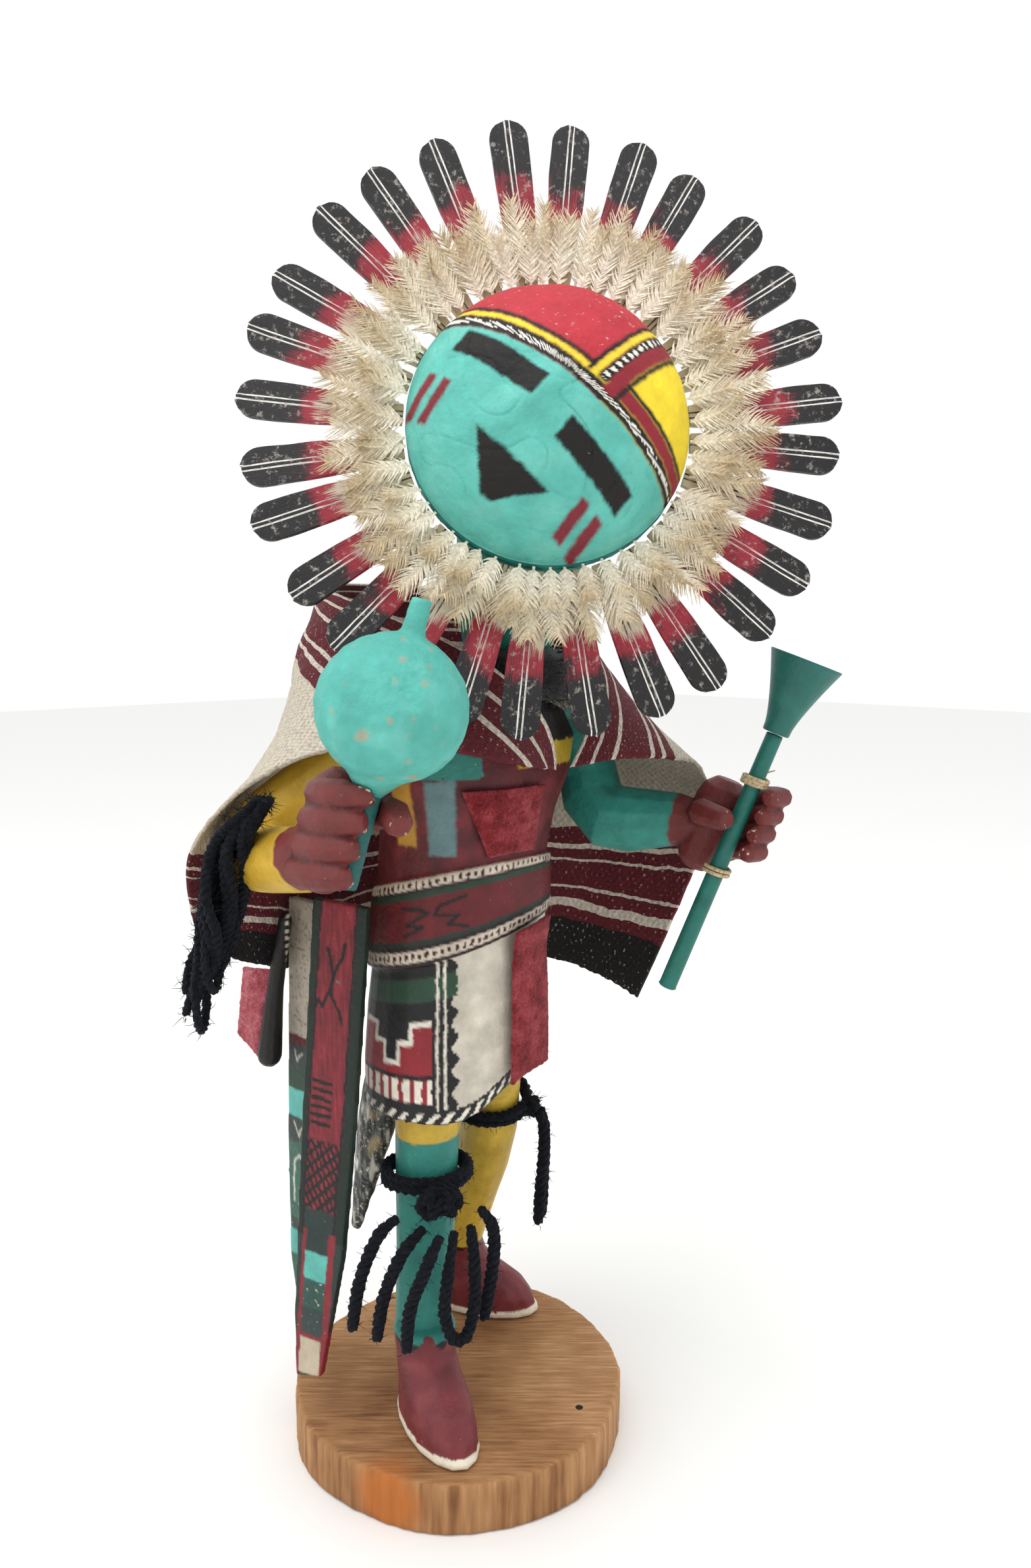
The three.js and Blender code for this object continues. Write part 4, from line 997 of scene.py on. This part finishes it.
def cape_point(s, t):
    """s runs from the right edge, -1, round the back to the left edge, 1; t runs down."""
    share = abs(s) ** 2.6
    side = 0 if s < 0 else 1
    points = []
    for turn, reach, height in CAPE_LEVELS:
        angle = math.radians(abs(s) * turn[side])
        edge = 0 if s < 0 else 2
        r = reach[1] + (reach[edge] - reach[1]) * share + CAPE_THICKNESS / 2
        z = height[1] + (height[edge] - height[1]) * share
        points.append(Vector((CAPE_AXIS.x + math.sin(angle) * r,
                              CAPE_AXIS.y + math.cos(angle) * r, z)))
    points = [2 * points[0] - points[1], *points, 2 * points[-1] - points[-2]]
    at = min(t * 5, 4.9999)
    i, u = int(at), at - int(at)
    a, b, c, d = points[i:i + 4]
    return 0.5 * (2 * b + (c - a) * u + (2 * a - 5 * b + 4 * c - d) * u * u
                  + (3 * b - a - 3 * c + d) * u ** 3)


def cape_mesh(columns=220, rows=110):
    form = bmesh.new()
    bmesh.ops.create_grid(form, x_segments=columns, y_segments=rows, size=1)
    weave = form.loops.layers.uv.new("UVMap")
    marks = {}
    for vert in form.verts:
        s, t = vert.co.x, (1 - vert.co.y) / 2
        marks[vert] = (s * 0.5 + 0.5, t)
        place = cape_point(s, t)
        away = Vector((place.x - CAPE_AXIS.x, place.y - CAPE_AXIS.y, 0)).normalized()
        fold = 1.3 * noise.noise((s * 9, t * 1.6, 2)) + 0.5 * noise.noise((s * 30, t * 9, 5))
        place += away * fold * (0.35 + 0.65 * t)
        frayed = max(0, abs(s) - 0.985) / 0.015 + max(0, t - 0.985) / 0.015
        place += Vector((0, 0, 0.7 * frayed * noise.noise((s * 60, t * 60, 1))))
        vert.co = place
    for face in form.faces:
        for loop in face.loops:
            loop[weave].uv = marks[loop.vert]
    return form


# Acrylic on coarse canvas. The weave stands up through the paint, and the colour is painted
# lighter on the threads' tops and darker between them, as painted light and shade, so the
# colours look stippled. The threads are drawn 0.9 mm apart.
def painted_canvas():
    material, tree = new_material("acrylic_on_canvas")
    marks = put(tree, "SeparateXYZ", {0: put(tree, "UVMap", uv_map="UVMap")})
    across, down_share = marks.node.outputs["X"], marks.node.outputs["Y"]
    place = object_place(tree)
    tau = 2 * math.pi
    warp = put(tree, "Math", {0: put(tree, "Math", {0: across, 1: 206 / 0.9 / 2 * tau},
                                     operation="MULTIPLY")}, operation="SINE")
    weft = put(tree, "Math", {0: put(tree, "Math", {0: down_share, 1: 116 / 0.9 / 2 * tau},
                                     operation="MULTIPLY")}, operation="SINE")
    cloth = put(tree, "Math", {0: warp, 1: weft}, operation="MULTIPLY")
    waver = put(tree, "TexNoise", {"Vector": place, "Scale": 60.0, "Detail": 5.0})
    wobble = put(tree, "MapRange", {"Value": waver, "To Min": -0.014, "To Max": 0.014})
    level = put(tree, "Math", {0: down_share, 1: wobble})
    maroon, white, black, cream = "#5d1a23", "#cfc4b6", "#151213", "#c3b9a8"
    colour = put(tree, "ValToRGB", {0: level}, stops=[
        (0.0, white), (0.012, maroon), (0.08, white), (0.10, maroon), (0.17, white),
        (0.19, maroon), (0.31, white), (0.325, maroon), (0.355, white), (0.37, maroon),
        (0.41, cream), (0.80, maroon), (0.826, white), (0.834, maroon), (0.848, white),
        (0.855, maroon), (0.892, white), (0.898, maroon), (0.914, white), (0.924, maroon),
        (0.938, black)])
    colour.node.color_ramp.interpolation = "CONSTANT"
    stipple = put(tree, "TexNoise", {"Vector": place, "Scale": 1100.0, "Detail": 4.0})
    lit = put(tree, "Math", {0: cloth, 1: 0.12, 2: stipple}, operation="MULTIPLY_ADD")
    # The weave's height, with a little noise, scales the colour from 0.6 to 1.25: painted light on the
    # threads' tops and painted shade between them.
    light = put(tree, "MapRange", {"Value": lit, "From Min": 0.25, "From Max": 0.75,
                                   "To Min": 0.6, "To Max": 1.25})
    tone = put(tree, "VectorMath", {0: colour, "Scale": light}, operation="SCALE")
    skip = put(tree, "MapRange", {"Value": lit, "From Min": 0.68, "From Max": 0.74})
    speck = put(tree, "Math", {0: skip, 1: 0.55}, operation="MULTIPLY")
    thread = put(tree, "Mix", {"Factor": speck, 6: tone, 7: rgba("#c9bdae")}, data_type="RGBA")
    bump = put(tree, "Bump", {"Height": lit, "Strength": 0.9, "Distance": 0.0006})
    put(tree, "Principled BSDF", {"Base Color": thread.node.outputs[2], "Roughness": 0.75,
                                  "Normal": bump, "Specular IOR Level": 0.3})
    return material


cape = finish_piece("canvas_cape", cape_mesh(), "canvas", painted_canvas(), "cape")
cloth_body = cape.modifiers.new("thickness", "SOLIDIFY")
cloth_body.thickness = CAPE_THICKNESS * MM
cloth_body.offset = 0


# ---------------------------------------------------------------- sashes
# Two thin boards hang from the belt at the right hip. The front one is the red sash with
# a painted figure and ticks, and the one behind is banded in white, green and turquoise.
def board_axes(points, at, across, up):
    """A point's millimetres across and up on a hanging board."""
    up = Vector(up).normalized()
    across = (Vector(across) - up * Vector(across).dot(up)).normalized()
    local = points - np.array(at)
    return local @ np.array(across), local @ np.array(up)


def red_sash_colours(points):
    x, y = board_axes(points, (-34.6, 5.5, 162), (0.36, -0.93, 0), (0.055, -0.06, 1))
    wobble = 0.3 * ragged(points, 3.0) + 0.2 * ragged(points, 0.9)
    x, y = x + wobble, y + wobble
    coat = coats(len(points), "#77202a", 0.3)
    streaks = ragged(points * np.array((4, 4, 0.5)), 3.0)
    brush(coat, np.clip(streaks * 1.5, 0, 1) * 0.6, "#93313a")
    brush(coat, np.clip(-streaks * 1.5, 0, 1) * 0.6, "#4f1219")
    taper = np.clip(-(y + 60) / 76, 0, 1)
    left, right = -6.0 + 0.8 * taper, 5.6 - 2.0 * taper
    brush(coat, (y < -86) * 1.0, "#20302d", 0.35)
    hatch = (((x * 0.9 + y * 0.5) % 1.7) < 0.75) | (((x * 0.6 - y * 0.55) % 2.1) < 0.75)
    brush(coat, inside(y, -86, -66, 0.8) * hatch, "#161213", 0.2)
    brush(coat, (y > -94) * np.maximum(x < left, x > right), "#122219", 0.25)
    brush(coat, (y > -94) * np.maximum(inside(x, left, left + 0.7), inside(x, right - 0.7, right)),
          "#120e10", 0.1)
    strokes = ([(-2.6, -12.6), (-1.6, -16.2), (-0.7, -19.9), (-1.2, -24.5), (1.1, -28.1), (2.9, -32.2)],
               [(2.5, -10.7), (2.0, -14.4), (-0.3, -19.0), (-1.2, -23.5), (-3.5, -29.0),
                (-4.8, -27.2), (-6.2, -30.9), (-7.1, -27.2)])
    for path in strokes:
        brush(coat, polyline(x, y, path, 0.95), "#140e10", 0.1)
    for i in range(6):
        level = -49.6 - 2.35 * i
        brush(coat, polyline(x, y, [(-4.6, level), (0.9, level - 0.1)], 1.1), "#140e10", 0.1)
    brush(coat, (np.hypot(x - 1.1, y + 21.3) < 0.6) * 1.0, "#6b5a50", 0.1)
    low = y < -92
    inner_left, inner_right = -4.0, 3.4 - 0.9 * taper
    rim = np.maximum(inside(x, inner_left - 1.1, inner_left), inside(x, inner_right, inner_right + 2.2))
    brush(coat, low * rim, "#7c2029", 0.3)
    middle = inside(x, inner_left, inner_right, 0.3)
    for top, bottom, colour, wear in ((-98.5, -106.5, "#57aa9f", 0.3), (-106.5, -115, "#274b43", 0.5),
                                      (-115, -122.5, "#2c3a38", 0.45), (-122.5, -123.8, "#7c2029", 0.2),
                                      (-123.8, -134.5, "#b3a68f", 0.4)):
        brush(coat, low * middle * inside(y, bottom, top, 0.5), colour, wear)
    return coat


def brocade_colours(points):
    x, y = board_axes(points, (-29.3, 19.5, 157), (-0.04, 1, 0), (0.03, 0, 1))
    wobble = 0.4 * ragged(points, 3.0) + 0.2 * ragged(points, 0.9)
    x, y = x + wobble, y + wobble
    coat = coats(len(points), "#2d3836", 0.4)
    bands = [(3, -40, "#b5ab9a", 0.1), (-40, -42.6, "#5d1a20", 0.2), (-50, -56, "#1c3b2c", 0.3),
             (-56, -64.5, "#58aaa0", 0.25), (-72, -95, "#335c4d", 0.4), (-99, -106.5, "#58aaa0", 0.3),
             (-106.5, -119, "#2c5a48", 0.4)]
    for top, bottom, colour, wear in bands:
        brush(coat, inside(y, bottom, top, 0.5), colour, wear)
    speckle = np.clip((ragged(points, 0.8) - 0.25) * 4, 0, 1) * (y > -40)
    brush(coat, speckle * 0.6, "#3a332c")
    for middle in (1.0, 7.5, 14.0):
        arch = [(middle - 2.2, -90), (middle - 2.2, -78), (middle, -75.5),
                (middle + 2.2, -78), (middle + 2.2, -90)]
        brush(coat, polyline(x, y, arch, 0.7), "#c3c0b4", 0.4)
        brush(coat, polyline(x, y, [(middle - 1.5, -45), (middle + 1, -47.5), (middle + 2, -44.5)],
                             0.6), "#b8b2a6", 0.4)
        brush(coat, polyline(x, y, [(middle - 1.5, -67), (middle, -70), (middle + 2, -66.5)], 0.6),
              "#b8b2a6", 0.4)
    return coat


sash = finish_piece("red_painted_sash", fine_copy("red_sash", 0.45, 2), "sash_paint", acrylic,
                    "red_sash")
paint(sash, red_sash_colours)
brocade = finish_piece("banded_sash", fine_copy("brocade_sash", 0.5, 2), "sash_paint", acrylic,
                       "brocade_sash")
paint(brocade, brocade_colours)


# ---------------------------------------------------------------- fox pelt
# A carved pelt hangs from the belt down the back, painted in grey with black and white
# strokes and one cream patch to stand for fur.
def pelt_colours(points):
    coat = coats(len(points), "#2a2c2c", 0.55)
    hairs = ragged(points * np.array((1, 1, 0.22)), 1.1)
    brush(coat, np.clip(hairs * 2.2, 0, 1), "#7d7f7a")
    brush(coat, np.clip((ragged(points * np.array((1, 1, 0.2)), 1.6, 5.0) - 0.3) * 4, 0, 1), "#d5d2c8")
    brush(coat, np.clip((ragged(points, 7.0, 2.0) - 0.3) * 4, 0, 1) * 0.7, "#b7a06a")
    return coat


pelt_form = fine_copy("fox_pelt", 0.55, 4)
pelt_points = np.array([v.co for v in pelt_form.verts])
pelt_form.normal_update()
tufts = 0.5 * ragged(pelt_points * np.array((1, 1, 0.25)), 1.8)
for vert, tuft in zip(pelt_form.verts, tufts):
    vert.co += vert.normal * float(tuft)
pelt = finish_piece("carved_fox_pelt", pelt_form, "pelt_paint", acrylic, "fox_pelt")
paint(pelt, pelt_colours)


# ---------------------------------------------------------------- felt pieces
# A bib, a loincloth strip and a small tail are cut from wool felt with scissors and glued
# on at their top edges. Felt is matted fibre, so it is dull and fuzzy with soft edges.
def wool_felt(name, dark, middle, light):
    material, tree = new_material(name)
    place = object_place(tree)
    fibres = put(tree, "TexNoise", {"Vector": place, "Scale": 1500.0, "Detail": 5.0,
                                    "Roughness": 0.7})
    clouds = put(tree, "TexNoise", {"Vector": place, "Scale": 240.0, "Detail": 3.0})
    both = put(tree, "Math", {0: fibres, 1: clouds})
    colour = put(tree, "ValToRGB", {0: put(tree, "Math", {0: both, 1: 0.5}, operation="MULTIPLY")},
                 stops=[(0.36, dark), (0.5, middle), (0.64, light)])
    bump = put(tree, "Bump", {"Height": fibres, "Strength": 0.9, "Distance": 0.0005})
    put(tree, "Principled BSDF", {
        "Base Color": colour, "Roughness": 0.95, "Normal": bump, "Sheen Weight": 0.15,
        "Specular IOR Level": 0.1})
    return material


red_wool = wool_felt("red_wool_felt", "#5a1014", "#83242a", "#a04549")
rose_wool = wool_felt("rose_wool_felt", "#7a2f38", "#a9525b", "#c27a80")


def felt_piece(name, node_name, slot, material):
    form = fine_copy(node_name, 0.42, 2)
    points = np.array([v.co for v in form.verts])
    form.normal_update()
    lift = 0.22 * ragged(points, 1.2)
    for vert, up in zip(form.verts, lift):
        vert.co += vert.normal * float(up)
    fluff(form, [v.co.copy() for v in form.verts], 0.1, 260, 0.9, 0.05)
    piece = finish_piece(name, form, slot, material, node_name)
    return piece


felt_piece("felt_bib_cut", "felt_bib", "red_felt", red_wool)
felt_piece("felt_loin_strip", "felt_strip", "red_felt", red_wool)
felt_piece("felt_tail_cut", "felt_tail", "rose_felt", rose_wool)


# A narrow black velvet band hangs beside the felt tail and ends in a round bulb. White
# stitches run down one edge.
def velvet_colours(points):
    coat = coats(len(points), "#17130f", 0.05)
    top, bottom = Vector((-34.6, 33.6, 152)), Vector((-37.8, 38.6, 112))
    along = (points - np.array(top)) @ np.array((bottom - top).normalized())
    aside = (points - np.array(top)) @ np.array((0.6, -0.8, 0))
    stitch = inside(aside + 0.05 * along, 0.6, 1.4, 0.3) * ((along % 2.2) < 1.2) * (along < 37)
    brush(coat, stitch, "#cdc6ba", 0.2)
    return coat


band = finish_piece("velvet_band", fine_copy("black_band", 0.4, 2), "black_velvet", acrylic,
                    "black_band")
paint(band, velvet_colours)


# ---------------------------------------------------------------- wrist hank and knots
# A hank of the same black wool is tied round the right wrist and falls in loose loops.
# More of it is wound twice round each leg and knotted in front.
def knot_and_turns(name, node_name, centre, axis, knot, turns, loops):
    form = bmesh.new()
    axis = Vector(axis).normalized()
    side = axis.orthogonal().normalized()
    other = axis.cross(side)
    centre = Vector(centre)
    winding = []
    for i in range(turns * 30 + 1):
        angle = 2 * math.pi * i / 30
        winding.append(centre + 11.6 * (math.cos(angle) * side + math.sin(angle) * other)
                       + axis * (-2.0 + 4.0 * i / (turns * 30)))
    twisted_yarn(form, winding, YARN * 0.95)
    fluff(form, winding, YARN / 2, 160, 1.6)
    knot = Vector(knot)
    out = (knot - centre).normalized()
    across = axis.cross(out).normalized()
    for k, (size, tilt, lift) in enumerate(loops):
        ring = []
        for i in range(33):
            angle = 2 * math.pi * i / 32
            ring.append(knot + out * (1.2 + lift * 0.3) + across * size * math.cos(angle)
                        + axis * (size * 0.55 * math.sin(angle) + tilt * math.cos(angle))
                        + out * (1.3 * math.sin(2 * angle + k)))
        twisted_yarn(form, ring, YARN * 0.9)
        fluff(form, ring, YARN / 2, 90, 1.8)
    finish_piece(name, form, "black_yarn", wool, node_name)


knot_and_turns("right_knee_wool", "knee_wrap_right", (-13.3, -1.4, 82.5), (0.05, 0.02, 1),
               (-20, -14, 80.5), 2, [(4.6, 1.0, 0), (3.4, -2.0, 3), (5.4, 0.4, -2), (2.6, 2.0, 4)])
knot_and_turns("left_knee_wool", "knee_wrap_left", (16.1, 4.0, 94.0), (-0.11, -0.25, 0.96),
               (22, -6, 92.5), 2, [(2.0, 0.5, 0), (1.4, -1.0, 2)])

HANK = [(-71, -14, 195), (-73, -5, 185), (-73.5, 1, 171), (-75.5, 7, 153), (-79.5, 11.5, 138)]
hank_radii = [4.5, 8.0, 9.5, 7.5, 1.5]
hank_route, _ = smooth_route(HANK, 1.4)
hank_form = bmesh.new()
hank_side = Vector((0.75, 0.66, 0.0))
hank_depth = Vector((-0.66, 0.75, 0.2))
for strand in range(15):
    turn = 2 * math.pi * strand / 15 * 2.4
    drop = random.uniform(0.72, 1.0)
    line = []
    for i, point in enumerate(hank_route[:int(len(hank_route) * drop)]):
        t = i / (len(hank_route) - 1)
        at = min(3.999, t * 4)
        radius = hank_radii[int(at)] + (hank_radii[int(at) + 1] - hank_radii[int(at)]) * (at % 1)
        reach = max(0, radius - 1.4) * (0.35 + 0.62 * ((strand * 7) % 15) / 15)
        angle = turn + 2.0 * t + 0.5 * math.sin(9 * t + strand)
        line.append(point + hank_side * reach * math.cos(angle)
                    + hank_depth * reach * 0.72 * math.sin(angle))
    twisted_yarn(hank_form, line, 3.1, lay=6.0)
    fluff(hank_form, line, 1.5, 110, 2.4)
for low, wide in ((0.62, 6.0), (0.8, 4.0)):
    bottom = hank_route[int(len(hank_route) * low)]
    loop = [bottom + hank_side * wide * math.sin(math.pi * 2 * i / 28)
            + Vector((0, 0, 9 * math.cos(math.pi * 2 * i / 28) - 4)) for i in range(29)]
    twisted_yarn(hank_form, loop, 2.6, lay=6.0)
    fluff(hank_form, loop, 1.4, 60, 2.6)
finish_piece("wrist_wool_hank", hank_form, "black_yarn", wool, "wrist_hank")


# ---------------------------------------------------------------- neck fur
# A strip of black fur is glued round the neck and fills the space under the mask.
def black_fur():
    material, tree = new_material("dyed_rabbit_fur")
    strands = put(tree, "TexNoise", {"Vector": object_place(tree), "Scale": 1200.0, "Detail": 3.0})
    colour = put(tree, "ValToRGB", {0: strands}, stops=[(0.4, "#060607"), (0.7, "#26262a")])
    put(tree, "Principled BSDF", {"Base Color": colour, "Roughness": 0.7, "Sheen Weight": 0.2,
                                  "Specular IOR Level": 0.3})
    return material


fur_form = fine_copy("neck_fur", 0.8, 3)
collar = [v.co.copy() for v in fur_form.verts]
middle = Vector((4.4, -14.4, 221))
for _ in range(1500):
    root = random.choice(collar)
    out = (root - middle).normalized()
    lean = Vector((random.gauss(0, 0.5), random.gauss(0, 0.5), random.gauss(-0.5, 0.5)))
    reach = random.uniform(2.2, 4.2)
    hair = [root, root + (out + lean * 0.3) * reach * 0.5, root + (out + lean) * reach * 0.85]
    sweep(fur_form, hair, lambda t, k: 0.13 * (1 - 0.7 * t), sides=3)
finish_piece("neck_fur_strip", fur_form, "black_fur", black_fur(), "neck_fur")

# ---------------------------------------------------------------- floor and light
# A white sweep with soft light from above and both sides.
sweep_form = bmesh.new()
bmesh.ops.create_grid(sweep_form, x_segments=1, y_segments=1, size=3)
sweep_mesh = bpy.data.meshes.new("floor")
sweep_form.to_mesh(sweep_mesh)
sweep_form.free()
floor = bpy.data.objects.new("floor", sweep_mesh)
bpy.context.collection.objects.link(floor)
paper, tree = new_material("white_paper")
put(tree, "Principled BSDF", {"Base Color": rgba("#f4f4f2"), "Roughness": 0.9,
                              "Specular IOR Level": 0.1})
sweep_mesh.materials.append(paper)

world = bpy.data.worlds.new("studio")
world.use_nodes = True
world.node_tree.nodes["Background"].inputs["Color"].default_value = rgba("#ffffff")
world.node_tree.nodes["Background"].inputs["Strength"].default_value = 1.0
bpy.context.scene.world = world


def soft_light(name, place, size, power):
    """A square soft light that faces the dancer's middle."""
    data = bpy.data.lights.new(name, "AREA")
    data.size = size
    data.energy = power
    light = bpy.data.objects.new(name, data)
    light.location = place
    light.rotation_euler = (Vector((0, 0, 0.18)) - light.location).to_track_quat("-Z", "Y").to_euler()
    bpy.context.collection.objects.link(light)


soft_light("overhead", (-0.35, -0.1, 1.1), 0.7, 5)
soft_light("left_fill", (-1.1, 0.2, 0.6), 0.8, 2)
soft_light("right_fill", (0.5, -1.0, 0.5), 0.8, 0.8)
